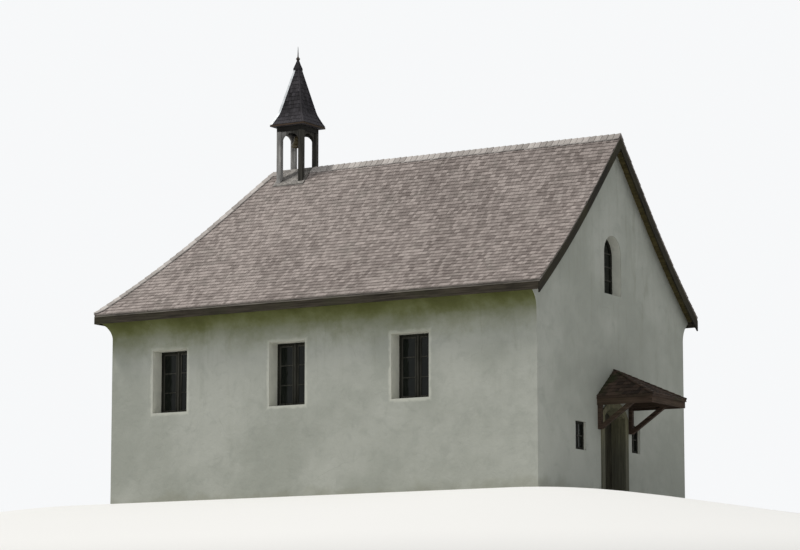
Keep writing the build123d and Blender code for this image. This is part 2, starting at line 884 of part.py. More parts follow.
def arched_board(middle):
    """Draws the board over one opening of the turret, with its stilted round arch."""
    with BuildSketch() as outline:
        with Locations((middle, (head_foot + arch_foot) / 2)):
            Rectangle(arch_span, turret_arch_depth)
        with Locations((middle, arch_spring)):
            Circle(arch_radius, mode=Mode.SUBTRACT)
        with Locations((middle, (arch_foot + arch_spring) / 2)):
            Rectangle(2 * arch_radius, arch_spring - arch_foot, mode=Mode.SUBTRACT)
    return outline.sketch_local


with BuildPart() as turret_arches:
    for side in (FRONT, BACK):
        with BuildSketch(Plane.XZ.offset(side * post_reach)):
            add(arched_board(turret_x))
        extrude(amount=turret_arch_board / 2, both=True)
        with BuildSketch(Plane.YZ.offset(turret_x + side * post_reach)):
            add(arched_board(0))
        extrude(amount=turret_arch_board / 2, both=True)
finish("turret_arches", turret_arches)

with BuildPart() as turret_head:
    with BuildSketch(Plane.XY.offset(head_foot)):
        with Locations((turret_x, 0)):
            Rectangle(turret_width, turret_width)
            Rectangle(arch_span, arch_span, mode=Mode.SUBTRACT)
            Rectangle(arch_span, headstock_width)
    extrude(amount=turret_head_depth)
finish("turret_head", turret_head)

spire_tip = turret_eave + spire_height


def spire_profile(middle):
    """Draws the spire's upright section: a short edge, a flared foot and a straight taper."""
    foot_half = turret_side + spire_overhang
    flare_half = flare_width / 2
    with BuildSketch() as outline:
        with BuildLine():
            Line((middle, turret_eave), (middle + foot_half, turret_eave))
            Line((middle + foot_half, turret_eave), (middle + foot_half, turret_eave + spire_edge))
            Bezier(
                (middle + foot_half, turret_eave + spire_edge),
                (middle + (foot_half + flare_half) / 2, turret_eave + flare_height / 2),
                (middle + flare_half, turret_eave + flare_height),
            )
            Line((middle + flare_half, turret_eave + flare_height), (middle + finial_radius, spire_tip))
            Line((middle + finial_radius, spire_tip), (middle, spire_tip))
            Line((middle, spire_tip), (middle, turret_eave))
        make_face()
        mirror(about=Plane.YZ.offset(middle))
    return outline.sketch_local


with BuildPart() as turret_spire:
    with BuildSketch(Plane.XZ.offset(-turret_width)):
        add(spire_profile(turret_x))
    extrude(amount=2 * turret_width)
    with BuildSketch(Plane.YZ.offset(turret_x - turret_width)):
        add(spire_profile(0))
    extrude(amount=2 * turret_width, mode=Mode.INTERSECT)
finish("turret_spire", turret_spire)


def flared(foot, top, foot_radius, top_radius, sides):
    """Upright many-sided body on the turret's axis, as wide across its flats as the two radii say."""
    slant = degrees(atan2(foot_radius - top_radius, top - foot))
    with BuildPart() as body:
        with BuildSketch(Plane.XY.offset(foot)):
            with Locations((turret_x, 0)):
                RegularPolygon(foot_radius, sides, major_radius=False)
        extrude(amount=top - foot, taper=slant)
    return body.part


# Finial: a forged knob and spike with flats
knob_middle = spire_tip + finial_ball
knob_top = spire_tip + 2 * finial_ball
with BuildPart() as turret_finial:
    add(flared(spire_tip, knob_middle, finial_ball / 2, finial_ball, finial_sides))
    add(flared(knob_middle, knob_top, finial_ball, finial_radius, finial_sides))
    add(flared(knob_top, spire_tip + finial_height, finial_radius, finial_tip, finial_sides))
finish("turret_finial", turret_finial)

# Bell, thickest at its lip, hung by its ear under the headstock
bell_crown = head_foot - bell_drop
bell_lip = bell_crown - bell_height
bell_waist = bell_lip + bell_waist_height
hollow_crown = bell_crown - bell_wall
hollow_waist = bell_waist_radius - bell_wall
with BuildPart() as bell:
    add(flared(bell_lip, bell_waist, bell_radius, bell_waist_radius, bell_sides))
    add(flared(bell_waist, bell_crown, bell_waist_radius, bell_crown_radius, bell_sides))
    add(
        flared(bell_lip, bell_waist, bell_radius - bell_lip_wall, hollow_waist, bell_sides),
        mode=Mode.SUBTRACT,
    )
    add(
        flared(bell_waist, hollow_crown, hollow_waist, bell_crown_radius - bell_wall, bell_sides),
        mode=Mode.SUBTRACT,
    )
    with BuildSketch(Plane.XY.offset(bell_crown)):
        with Locations((turret_x, 0)):
            Rectangle(bell_ear, bell_wall)
    extrude(amount=bell_drop - seat)
finish("bell", bell)

os.makedirs("parts", exist_ok=True)
for name, part in pieces.items():
    export_step(part, f"parts/{name}.step")
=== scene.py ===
"""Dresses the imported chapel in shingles, boards, plaster and metal, with floor, light and camera."""

import math
import random

import bmesh
import bpy
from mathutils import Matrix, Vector


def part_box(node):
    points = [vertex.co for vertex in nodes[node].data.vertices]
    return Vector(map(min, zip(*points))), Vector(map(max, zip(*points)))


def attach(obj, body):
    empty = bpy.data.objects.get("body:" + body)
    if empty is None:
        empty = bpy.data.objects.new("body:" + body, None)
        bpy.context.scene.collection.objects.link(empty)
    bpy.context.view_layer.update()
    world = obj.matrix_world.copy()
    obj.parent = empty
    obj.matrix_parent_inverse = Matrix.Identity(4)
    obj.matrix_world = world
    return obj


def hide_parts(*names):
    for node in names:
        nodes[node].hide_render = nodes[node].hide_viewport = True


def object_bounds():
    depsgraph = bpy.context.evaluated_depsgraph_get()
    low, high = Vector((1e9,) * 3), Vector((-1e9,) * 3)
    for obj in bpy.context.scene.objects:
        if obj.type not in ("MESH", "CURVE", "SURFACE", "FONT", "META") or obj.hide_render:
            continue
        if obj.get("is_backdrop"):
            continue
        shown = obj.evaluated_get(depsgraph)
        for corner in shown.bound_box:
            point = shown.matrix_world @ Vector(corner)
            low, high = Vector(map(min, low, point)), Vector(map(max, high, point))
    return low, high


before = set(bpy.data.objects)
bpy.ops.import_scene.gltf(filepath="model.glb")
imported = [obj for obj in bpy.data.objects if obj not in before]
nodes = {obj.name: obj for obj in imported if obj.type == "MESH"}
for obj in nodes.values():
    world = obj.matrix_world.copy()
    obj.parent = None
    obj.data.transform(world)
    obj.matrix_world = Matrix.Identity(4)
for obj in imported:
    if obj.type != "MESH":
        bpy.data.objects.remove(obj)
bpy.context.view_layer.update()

UP = Vector((0, 0, 1))
EAST = Vector((1, 0, 0))
NORTH = Vector((0, 1, 0))
FRONT, BACK = -1, 1


# Places that materials and pieces share, in metres

HALF_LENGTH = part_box("gable_wall_base")[1].x
HALF_WIDTH = -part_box("front_wall_base")[0].y

sills_low, sills_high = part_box("window_sills")
WINDOW_SILL = sills_low.z
WINDOW_HEIGHT = 1.4
WINDOW_HALF = 0.46
FIRST_WINDOW = sills_low.x + WINDOW_HALF
LAST_WINDOW = sills_high.x - WINDOW_HALF
WINDOW_PLACES = (FIRST_WINDOW, (FIRST_WINDOW + LAST_WINDOW) / 2, LAST_WINDOW)

apron_low, apron_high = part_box("turret_apron")
TURRET_X = (apron_low.x + apron_high.x) / 2
spire_low, spire_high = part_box("turret_spire")
SPIRE_FOOT = spire_low.z


# Meshes are gathered as closed solids through like outlines

def circle(sides):
    """Points of a unit circle."""
    angles = [2 * math.pi * i / sides for i in range(sides)]
    return [(math.cos(angle), math.sin(angle)) for angle in angles]


class Shape:
    """Points and faces of one piece, with the material that each face takes."""

    def __init__(self):
        self.points = []
        self.faces = []
        self.slots = []

    def loft(self, sections, slot=0):
        """A closed solid through outlines that have the same number of points."""
        count = len(sections[0])
        start = len(self.points)
        for section in sections:
            self.points += [Vector(point) for point in section]
        rings = [start + k * count for k in range(len(sections))]
        faces = [tuple(reversed(range(rings[0], rings[0] + count)))]
        for low, high in zip(rings, rings[1:]):
            for i in range(count):
                j = (i + 1) % count
                faces.append((low + i, low + j, high + j, high + i))
        faces.append(tuple(range(rings[-1], rings[-1] + count)))
        self.faces += faces
        self.slots += [slot] * len(faces)

    def block(self, low, high, slot=0):
        """An upright box between two corners."""
        sections = []
        for z in (low[2], high[2]):
            corners = ((low[0], low[1]), (high[0], low[1]), (high[0], high[1]), (low[0], high[1]))
            sections.append([(x, y, z) for x, y in corners])
        self.loft(sections, slot)

    def rod(self, path, radii, sides=10, slot=0):
        """A round bar along a path, with a radius at each point."""
        sections = []
        for k, centre in enumerate(path):
            ahead = Vector(path[min(k + 1, len(path) - 1)])
            behind = Vector(path[max(k - 1, 0)])
            turn = UP.rotation_difference(ahead - behind)
            spokes = [Vector((a, b, 0)) * radii[k] for a, b in circle(sides)]
            sections.append([Vector(centre) + turn @ spoke for spoke in spokes])
        self.loft(sections, slot)

    def turned(self, centre, profile, sides=48, slot=0):
        """A closed body of revolution through (radius, height) pairs."""
        sections = []
        x, y = centre
        for radius, height in profile:
            sections.append([(x + radius * a, y + radius * b, height) for a, b in circle(sides)])
        self.loft(sections, slot)

    def piece(self, name, materials, body="building", bevel=0.0, smooth=False):
        """Makes the object, with outward faces and, if asked, broken edges."""
        mesh = bpy.data.meshes.new(name)
        mesh.from_pydata(self.points, [], self.faces)
        for material in materials:
            mesh.materials.append(material)
        mesh.polygons.foreach_set("material_index", self.slots)
        work = bmesh.new()
        work.from_mesh(mesh)
        bmesh.ops.dissolve_degenerate(work, dist=1e-5, edges=work.edges)
        bmesh.ops.recalc_face_normals(work, faces=work.faces)
        if bevel:
            bmesh.ops.bevel(work, geom=work.edges, offset=bevel, segments=1, affect="EDGES")
        work.to_mesh(mesh)
        work.free()
        mesh.polygons.foreach_set("use_smooth", [smooth] * len(mesh.polygons))
        built = bpy.data.objects.new(name, mesh)
        bpy.context.scene.collection.objects.link(built)
        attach(built, body)
        return built


# Materials are made of nodes alone, in the frame's own coordinates

class Finish:
    """A material: one main shader and the nodes that feed it."""

    def __init__(self, name, roughness, metallic=0.0):
        self.material = bpy.data.materials.new(name)
        self.material.use_nodes = True
        self.tree = self.material.node_tree
        self.shader = self.tree.nodes["Principled BSDF"]
        self.shader.inputs["Roughness"].default_value = roughness
        self.shader.inputs["Metallic"].default_value = metallic
        self.shader.inputs["Specular IOR Level"].default_value = 0.5 if metallic else 0.15
        self.place = self.add("ShaderNodeTexCoord").outputs["Object"]
        self.x, self.y, self.z = self.add("ShaderNodeSeparateXYZ", self.place).outputs

    def feed(self, socket, value):
        """Links a socket, or sets it."""
        if isinstance(value, bpy.types.NodeSocket):
            self.tree.links.new(value, socket)
        else:
            socket.default_value = value

    def add(self, kind, *feeds, **settings):
        """A node with its first inputs fed, and its settings given."""
        node = self.tree.nodes.new(kind)
        for key, value in settings.items():
            setattr(node, key, value)
        for socket, value in zip(node.inputs, feeds):
            self.feed(socket, value)
        return node

    def math(self, operation, *values):
        return self.add("ShaderNodeMath", *values, operation=operation).outputs[0]

    def plus(self, first, second):
        return self.math("ADD", first, second)

    def minus(self, first, second):
        return self.math("SUBTRACT", first, second)

    def times(self, first, second):
        return self.math("MULTIPLY", first, second)

    def vector(self, x, y, z):
        return self.add("ShaderNodeCombineXYZ", x, y, z).outputs[0]

    def stretched(self, x, y, z, place=None):
        """Coordinates stretched by a factor along each axis."""
        node = self.add("ShaderNodeMapping", place or self.place)
        node.inputs["Scale"].default_value = (x, y, z)
        return node.outputs[0]

    def texture(self, kind, place, values, **settings):
        """A texture node over a place, or over the frame's own coordinates, with its inputs set."""
        node = self.add(kind, place or self.place, **settings)
        for socket, value in values.items():
            node.inputs[socket].default_value = value
        return node

    def noise(self, scale, detail=3.0, rough=0.55, place=None, warp=0.0, output="Fac"):
        values = {"Scale": scale, "Detail": detail, "Roughness": rough, "Distortion": warp}
        return self.texture("ShaderNodeTexNoise", place, values).outputs[output]

    def cracks(self, scale, place):
        """Distance from the nearest line of an irregular net."""
        net = self.texture("ShaderNodeTexVoronoi", place, {"Scale": scale}, feature="DISTANCE_TO_EDGE")
        return net.outputs["Distance"]

    def fade(self, value, low, high, start=0.0, end=1.0):
        """Maps a value smoothly from one range to another, held at both ends."""
        return self.add(
            "ShaderNodeMapRange", value, low, high, start, end, interpolation_type="SMOOTHSTEP"
        ).outputs[0]

    def wander(self, reach, *noise):
        """An uneven offset, up to a reach either way."""
        return self.fade(self.noise(*noise), 0.3, 0.7, -reach, reach)

    def between(self, value, low, high):
        """1 inside a range and 0 outside it."""
        above = self.math("GREATER_THAN", value, low)
        below = self.math("LESS_THAN", value, high)
        return self.times(above, below)

    def mix(self, factor, first, second):
        """A blend of two colours, each given as numbers or as another node's output."""
        node = self.add("ShaderNodeMix", factor, data_type="RGBA")
        for socket, colour in zip(node.inputs[6:8], (first, second)):
            self.feed(socket, colour if isinstance(colour, bpy.types.NodeSocket) else (*colour, 1))
        return node.outputs[2]

    def colour(self, value):
        self.feed(self.shader.inputs["Base Color"], value)

    def roughness(self, value):
        self.feed(self.shader.inputs["Roughness"], value)

    def relief(self, height, depth, under=None):
        """Bump of a depth in metres, over another bump if one is given."""
        node = self.add("ShaderNodeBump")
        node.inputs["Distance"].default_value = depth
        self.feed(node.inputs["Height"], height)
        if under is not None:
            self.feed(node.inputs["Normal"], under)
        self.feed(self.shader.inputs["Normal"], node.outputs[0])
        return node.outputs[0]

    def island(self):
        """A random value for each board or shingle of a joined mesh."""
        return self.add("ShaderNodeNewGeometry").outputs["Random Per Island"]

    def across(self):
        """The level coordinate that runs along a wall or slope, whichever way it faces."""
        normal = self.add("ShaderNodeNewGeometry").outputs["Normal"]
        side, front = self.add("ShaderNodeSeparateXYZ", normal).outputs[:2]
        side, front = self.math("ABSOLUTE", side), self.math("ABSOLUTE", front)
        turned = self.math("GREATER_THAN", side, front)
        return self.plus(self.x, self.times(turned, self.minus(self.y, self.x)))


def shaded(colour, share):
    """A colour brought down to a share of its light."""
    return tuple(part * share for part in colour)


def window_arrises(f, out):
    """How much paler the plaster is round the long walls' windows, down to 0 some centimetres away."""
    beside = f.math("PINGPONG", f.minus(f.x, FIRST_WINDOW), (WINDOW_PLACES[1] - FIRST_WINDOW) / 2)
    above = f.math("ABSOLUTE", f.minus(f.z, WINDOW_SILL + WINDOW_HEIGHT / 2))
    away = f.math("MAXIMUM", f.minus(beside, WINDOW_HALF), f.minus(above, WINDOW_HEIGHT / 2))
    away = f.plus(away, f.wander(0.02, 6.0, 3))
    in_row = f.between(f.x, 0.2 - HALF_LENGTH, LAST_WINDOW + 1.4)
    outside = f.math("GREATER_THAN", out, HALF_WIDTH - 0.01)
    return f.times(f.fade(away, 0.02, 0.08, 0.6, 0), f.times(in_row, outside))


def reveals(f, out):
    """1 on the sides of the openings in the long walls and in the gable."""
    in_long_wall = f.between(out, HALF_WIDTH - 0.39, HALF_WIDTH - 0.005)
    in_long_wall = f.times(in_long_wall, f.between(f.x, 0.65 - HALF_LENGTH, HALF_LENGTH - 0.65))
    in_gable = f.between(f.x, HALF_LENGTH - 0.4, HALF_LENGTH - 0.008)
    in_gable = f.times(in_gable, f.math("LESS_THAN", out, HALF_WIDTH - 0.45))
    return f.math("MAXIMUM", in_long_wall, in_gable)


def below_eaves(f, out):
    """1 on the outer faces of the three walls that have eaves, where the painted eaves shade goes."""
    long_walls = f.fade(out, HALF_WIDTH - 0.05, HALF_WIDTH + 0.01)
    hip_end = f.fade(f.x, -HALF_LENGTH - 0.01, 0.05 - HALF_LENGTH, 1, 0)
    behind_gable = f.math("LESS_THAN", f.x, HALF_LENGTH - 0.01)
    return f.times(f.math("MAXIMUM", long_walls, hip_end), behind_gable)


def plaster():
    """Lime plaster: uneven tint, streaks, a damp foot, painted shade and painted green bounce light
    under the eaves with some olive algae, and a sandy surface.
    """
    f = Finish("plaster", roughness=0.93)
    out = f.math("ABSOLUTE", f.y)
    broad = f.noise(0.5, 4, 0.6)
    tint = f.mix(f.fade(broad, 0.36, 0.64), (0.345, 0.358, 0.313), (0.425, 0.436, 0.388))
    patches = f.noise(2.6, 5, 0.62, warp=0.7)
    tint = f.mix(f.fade(patches, 0.48, 0.72, 0, 0.45), tint, (0.315, 0.330, 0.290))
    bend = f.stretched(0.16, 0.16, 0.16, f.noise(2.4, output="Color"))
    bent = f.add("ShaderNodeVectorMath", f.place, bend, operation="ADD").outputs[0]
    streaks = f.noise(1.0, 5, 0.65, place=f.stretched(5, 5, 0.45, bent), warp=0.6)
    streaks = f.times(f.fade(streaks, 0.5, 0.78), f.fade(f.z, 1.2, 4.2, 0.08, 0.42))
    tint = f.mix(streaks, tint, (0.245, 0.255, 0.200))
    damp_line = f.plus(f.z, f.wander(0.15, 1.7, 4, 0.6))
    tint = f.mix(f.fade(damp_line, 0.0, 0.3, 0.4, 0), tint, (0.25, 0.25, 0.19))

    # Lighter arrises round the windows, and lighter reveals in every opening
    tint = f.mix(window_arrises(f, out), tint, (0.58, 0.585, 0.51))
    reveal = f.times(reveals(f, out), f.fade(patches, 0.3, 0.7, 0.95, 0.7))
    tint = f.mix(reveal, tint, (0.66, 0.66, 0.575))

    # Painted shade and painted green bounce light under the eaves, partly olive algae, darkest in the
    # cove
    eave_shade_and_growth = f.plus(f.z, f.wander(0.11, 1.3, 5, 0.65))
    wall = below_eaves(f, out)
    for start, full, share, colour in (
        (3.12, 4.02, 0.93, (0.120, 0.132, 0.038)),
        (3.72, 4.26, 0.82, (0.050, 0.052, 0.010)),
    ):
        tint = f.mix(f.times(wall, f.fade(eave_shade_and_growth, start, full, 0, share)), tint, colour)

    # A few fine cracks, and relief in three sizes
    crack = f.fade(f.cracks(0.8, bent), 0.0, 0.0035, 1, 0)
    crack = f.times(crack, f.fade(f.noise(0.9, 2), 0.55, 0.66))
    f.colour(f.mix(f.times(crack, 0.45), tint, (0.22, 0.22, 0.19)))
    waves = f.relief(f.noise(1.6, 3, 0.5), 0.035)
    floated = f.relief(f.noise(9.0, 5, 0.6, warp=0.4), 0.009, waves)
    f.relief(f.noise(120.0, 3, 0.7), 0.0025, floated)
    return f.material


def to_the_west(f):
    """Bleaching towards the hipped end."""
    return f.fade(f.x, -5.0, 4.0, 0.24, 0)


def on_the_flare(f):
    """Bleaching where the spire spreads at its foot."""
    return f.fade(f.z, SPIRE_FOOT, SPIRE_FOOT + 0.45, 0.7, 0)


def shingle(name, dark, light, stain, stain_share, fibre=75.0, bleached=to_the_west):
    """Split shingles: a tone for each, grain down the slope, weather stains and a paler part."""
    f = Finish(name, roughness=0.9)
    broad = f.plus(f.fade(f.noise(0.6, 4, 0.6), 0.3, 0.7, -0.06, 0.2), bleached(f))
    tint = f.mix(f.plus(f.times(f.island(), 0.78), broad), dark, light)
    place = f.vector(f.times(f.across(), fibre), f.times(f.z, 5.0), f.island())
    grain = f.noise(1.0, 4, 0.65, place)
    tint = f.mix(f.fade(grain, 0.4, 0.75, 0, 0.45), tint, shaded(dark, 0.45))
    patches = f.noise(1.5, 5, 0.65, warp=0.5)
    f.colour(f.mix(f.fade(patches, 0.5, 0.68, 0, stain_share), tint, stain))
    f.relief(grain, 0.004)
    return f.material


# Grain is drawn out along the boards: factors along it and across it

ALONG, ACROSS = 1.5, 26


def upright(f):
    """Grain that runs up and down."""
    return f.stretched(ACROSS, ACROSS, ALONG)


def level(f):
    """Grain that runs along level boards."""
    return f.vector(f.times(f.across(), ALONG), f.times(f.z, ACROSS), 0.0)


def sloping(f):
    """Grain that runs down the roof's slope."""
    run, fall = 0.69, 0.72
    out = f.math("ABSOLUTE", f.y)
    down = f.minus(f.times(out, run), f.times(f.z, fall))
    proud = f.plus(f.times(out, fall), f.times(f.z, run))
    return f.vector(f.times(down, ALONG), f.times(proud, ACROSS), f.times(f.x, ACROSS))


def drying_checks(f, place):
    """Dark splits along the grain."""
    return f.fade(f.noise(2.3, 2, 0.5, place), 0.66, 0.73, 0, 0.75)


def wood(name, grain, deep, pale, worn, roughness=0.86, damp_height=0.0):
    """Weathered timber: figure, fibres, worn patches, splits and, if asked, a foot darkened by damp."""
    f = Finish(name, roughness)
    place = grain(f)
    figure = f.noise(1.0, 5, 0.6, place, warp=0.4)
    fibre = f.noise(5.0, 3, 0.7, place)
    tint = f.mix(f.fade(figure, 0.3, 0.7), deep, pale)
    tint = f.mix(f.fade(fibre, 0.45, 0.75, 0, 0.4), tint, shaded(deep, 0.55))
    tint = f.mix(f.fade(f.noise(1.1, 4, 0.6), 0.42, 0.7, 0, 0.55), tint, worn)
    if damp_height:
        damp = f.fade(f.z, damp_height / 2, damp_height, 0.65, 0)
        tint = f.mix(damp, tint, (0.050, 0.052, 0.047))
    checks = drying_checks(f, place)
    f.colour(f.mix(checks, tint, shaded(deep, 0.2)))
    f.relief(f.minus(f.times(fibre, 0.4), checks), 0.003)
    return f.material


def turret_timber():
    """Turret posts, pale grey on the west side as painted sunlight and nearly black on the east side as
    painted shade.
    """
    f = Finish("turret_timber", 0.88)
    place = upright(f)
    figure = f.noise(1.0, 5, 0.6, place, warp=0.4)
    painted_sunlit_tint = f.mix(f.fade(figure, 0.3, 0.7), (0.180, 0.176, 0.166), (0.420, 0.412, 0.392))
    painted_shaded_tint = f.mix(f.fade(figure, 0.3, 0.7), (0.018, 0.017, 0.014), (0.070, 0.066, 0.056))
    # West half painted as sunlit, east half painted in shade
    eastward = f.plus(f.x, f.wander(0.12, 3.0, 3))
    tint = f.mix(f.fade(eastward, TURRET_X - 0.35, TURRET_X + 0.15), painted_sunlit_tint, painted_shaded_tint)
    checks = drying_checks(f, place)
    f.colour(f.mix(checks, tint, (0.012, 0.011, 0.009)))
    f.relief(f.minus(f.times(figure, 0.4), checks), 0.003)
    return f.material


def glass():
    """Old window glass, dark from outside, dusty in patches and slightly wavy."""
    f = Finish("glass", roughness=0.09)
    dust = f.fade(f.noise(3.0, 4, 0.6), 0.45, 0.75)
    f.colour(f.mix(f.times(dust, 0.5), (0.006, 0.008, 0.006), (0.022, 0.024, 0.020)))
    f.roughness(f.fade(dust, 0, 1, 0.06, 0.28))
    f.relief(f.noise(5.0, 2, 0.4), 0.006)
    return f.material


def metal(name, dark, light, metallic, roughness, pits=60.0):
    """Forged, cast or sheet metal with blotches, pits and an uneven polish."""
    f = Finish(name, roughness, metallic)
    blotch = f.noise(7.0, 5, 0.65, warp=0.4)
    f.colour(f.mix(f.fade(blotch, 0.35, 0.68), dark, light))
    f.roughness(f.fade(f.noise(21.0, 3, 0.6), 0.3, 0.7, roughness - 0.1, roughness + 0.14))
    f.relief(f.noise(pits, 3, 0.6), 0.0012)
    return f.material


def stone():
    """Worn sandstone flags, with joints and darker, trodden patches."""
    f = Finish("stone", roughness=0.88)
    grit = f.noise(34.0, 5, 0.65)
    tint = f.mix(f.fade(grit, 0.3, 0.72), (0.150, 0.142, 0.125), (0.320, 0.305, 0.270))
    tint = f.mix(f.fade(f.noise(1.3, 4, 0.6), 0.42, 0.7, 0, 0.5), tint, (0.20, 0.19, 0.15))
    flags = {"Scale": 1.0, "Mortar Size": 0.008, "Brick Width": 0.6, "Row Height": 0.4}
    joint = f.texture("ShaderNodeTexBrick", None, flags, offset=0.5).outputs["Fac"]
    f.colour(f.mix(f.times(joint, 0.7), tint, (0.07, 0.066, 0.055)))
    f.relief(f.minus(f.times(grit, 0.3), joint), 0.004)
    return f.material


PLASTER = plaster()
ROOF = shingle("roof_shingle", (0.177, 0.149, 0.136), (0.420, 0.368, 0.340),
               (0.232, 0.219, 0.193), 0.25)
CAPS = shingle("cap_boards", (0.280, 0.255, 0.235), (0.580, 0.540, 0.505),
               (0.330, 0.320, 0.285), 0.3)
SPIRE = shingle("spire_shingle", (0.012, 0.011, 0.012), (0.058, 0.054, 0.060),
                (0.084, 0.077, 0.084), 0.4, 90.0, on_the_flare)
CANOPY = shingle("canopy_shingle", (0.017, 0.012, 0.009), (0.096, 0.065, 0.048),
                 (0.022, 0.030, 0.011), 0.85, 90.0)
BOARDING = wood("roof_boards", level, (0.045, 0.037, 0.014), (0.125, 0.102, 0.042),
                (0.088, 0.076, 0.032))
# Eaves boards darkened past the timber's own tone as painted shade under the roof's overhang
EAVES = wood("eaves_boards", level, (0.018, 0.015, 0.010), (0.060, 0.050, 0.036),
             (0.040, 0.040, 0.022))
ROOF_EDGE = wood("roof_edge", level, (0.062, 0.055, 0.046), (0.200, 0.180, 0.155),
                 (0.125, 0.120, 0.092))
RAFTERS = wood("rafter_timber", sloping, (0.130, 0.100, 0.070), (0.270, 0.215, 0.150),
               (0.19, 0.15, 0.10))
CANOPY_TIMBER = wood("canopy_timber", level, (0.028, 0.018, 0.012), (0.086, 0.058, 0.042),
                     (0.060, 0.047, 0.028))
VERGE_TIMBER = wood("verge_timber", sloping, (0.009, 0.008, 0.006), (0.034, 0.030, 0.019),
                    (0.038, 0.034, 0.017))
# Turret head boards nearly black: painted shade under the spire's eaves
HEAD_TIMBER = wood("head_timber", level, (0.007, 0.007, 0.006), (0.022, 0.020, 0.018),
                   (0.028, 0.026, 0.023))
# Window frames darkened from dark grey to near black as painted shade in the window recesses
SASH = wood("sash_timber", upright, (0.006, 0.006, 0.004), (0.018, 0.018, 0.013),
            (0.026, 0.025, 0.019), 0.8)
BAR_TIMBER = wood("bar_timber", upright, (0.022, 0.022, 0.017), (0.062, 0.060, 0.050),
                  (0.080, 0.078, 0.066), 0.8)
FRAME_TIMBER = wood("frame_timber", upright, (0.125, 0.118, 0.070), (0.250, 0.238, 0.150),
                    (0.200, 0.193, 0.130), damp_height=1.75)
DOOR = wood("door_boards", upright, (0.026, 0.024, 0.016), (0.075, 0.070, 0.048),
            (0.060, 0.060, 0.044))
POSTS = turret_timber()
GLASS = glass()
IRON = metal("iron", (0.014, 0.013, 0.012), (0.055, 0.042, 0.034), 0.75, 0.62)
BRONZE = metal("bronze", (0.060, 0.044, 0.022), (0.150, 0.130, 0.075), 0.9, 0.5, 35.0)
ZINC = metal("zinc", (0.46, 0.48, 0.49), (0.70, 0.73, 0.75), 0.3, 0.5, 25.0)
APRON = metal("apron_sheet", (0.085, 0.078, 0.070), (0.190, 0.178, 0.160), 0.3, 0.62, 25.0)
STONE = stone()

CAD_FINISHES = {
    PLASTER: ("back_wall_base", "back_wall_piers", "back_wall_top",
              "front_wall_base", "front_wall_piers", "front_wall_top",
              "gable_wall_base", "gable_wall_piers", "gable_wall_top", "hip_end_wall",
              "eaves_cove_front", "eaves_cove_back", "eaves_cove_hip", "window_sills"),
    STONE: ("floor_slab", "door_sill"),
    EAVES: ("eaves_boards",),
    BOARDING: ("boarding_front", "boarding_back", "boarding_hip", "wall_plates", "collar_beams"),
    RAFTERS: ("rafters_front", "rafters_back", "rafters_hip", "hip_rafters"),
    VERGE_TIMBER: ("verge_boards",),
    CANOPY_TIMBER: ("canopy_frame",),
    HEAD_TIMBER: ("turret_head",),
    POSTS: ("turret_posts", "turret_arches"),
    FRAME_TIMBER: ("door_frame",),
    SASH: ("window_frames",),
    GLASS: ("window_glass",),
    IRON: ("door_straps", "door_pintles", "turret_finial"),
    APRON: ("turret_apron",),
}
for finish, names in CAD_FINISHES.items():
    for name in names:
        for place in nodes[name].material_slots:
            place.material = finish


# Roof form, from the solids' own corners: straight above, then an arc that eases out to the eaves

roof_low, roof_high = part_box("shingles_front")
SHINGLE_DEPTH = 0.08
STRAIGHT_RUN = 1.25
KNEE_DIP = 0.22  # how far the upper slope's line passes below a straight roof at the arc's middle
HALF_SPAN = -roof_low.y
EAVE = roof_low.z + SHINGLE_DEPTH
RIDGE = roof_high.z
VERGE_X = roof_high.x
HIP_EAVE_X = roof_low.x
RIDGE_END_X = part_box("shingles_hip")[1].x
HIP_SCALE = (RIDGE_END_X - HIP_EAVE_X) / HALF_SPAN

knee = (STRAIGHT_RUN + HALF_SPAN) / 2
UPPER_FALL = ((RIDGE - EAVE) / HALF_SPAN * knee + KNEE_DIP) / knee
arc_start = Vector((STRAIGHT_RUN, RIDGE - UPPER_FALL * STRAIGHT_RUN))
arc_chord = Vector((HALF_SPAN, EAVE)) - arc_start
arc_normal = Vector((UPPER_FALL, 1)).normalized()
ARC_RADIUS = arc_chord.length_squared / (2 * arc_normal.dot(arc_chord))
ARC_CENTRE = arc_start + arc_normal * ARC_RADIUS


def roof_height(run):
    """Height of the shingled surface at this distance from the ridge line."""
    if run <= STRAIGHT_RUN:
        return RIDGE - UPPER_FALL * run
    return ARC_CENTRE.y - math.sqrt(ARC_RADIUS**2 - (ARC_CENTRE.x - run) ** 2)


def surface(x, y):
    """Height of the main roof over a place."""
    return min(roof_height(abs(y)), roof_height(max(0.0, (RIDGE_END_X - x) / HIP_SCALE)))


class Slope:
    """One shingled side of a roof.

    Runs are distances out from its top line, and sides are places along its eave.
    """

    def __init__(self, top, outward, along, height, reach, limits, scale=1.0, start=0.0):
        self.top = Vector(top)
        self.outward = outward
        self.along = along
        self.height = height
        self.reach = reach
        self.limits = limits
        self.scale = scale
        self.start = start

    def point(self, side, run, lift=0.0):
        """A place on the slope, lifted square off it."""
        step = 0.002
        fall = (self.height(run - step) - self.height(run + step)) / (2 * step * self.scale)
        square = (UP + self.outward * fall).normalized()
        foot = self.top + self.outward * (self.scale * run) + self.along * side
        return Vector((foot.x, foot.y, self.height(run))) + square * lift

    def courses(self, exposure):
        """Runs of the butt lines from the eave up, evenly spaced along the slope."""
        steps = 300
        runs = [self.reach + (self.start - self.reach) * k / steps for k in range(steps + 1)]
        lengths = [0.0]
        for low, high in zip(runs, runs[1:]):
            rise = self.height(high) - self.height(low)
            lengths.append(lengths[-1] + math.hypot(self.scale * (low - high), rise))
        count = round(lengths[-1] / exposure)
        found = []
        k = 0
        for course in range(count + 1):
            target = lengths[-1] * course / count
            while k < steps - 1 and lengths[k + 1] < target:
                k += 1
            share = (target - lengths[k]) / (lengths[k + 1] - lengths[k])
            found.append(runs[k] + (runs[k + 1] - runs[k]) * share)
        return found


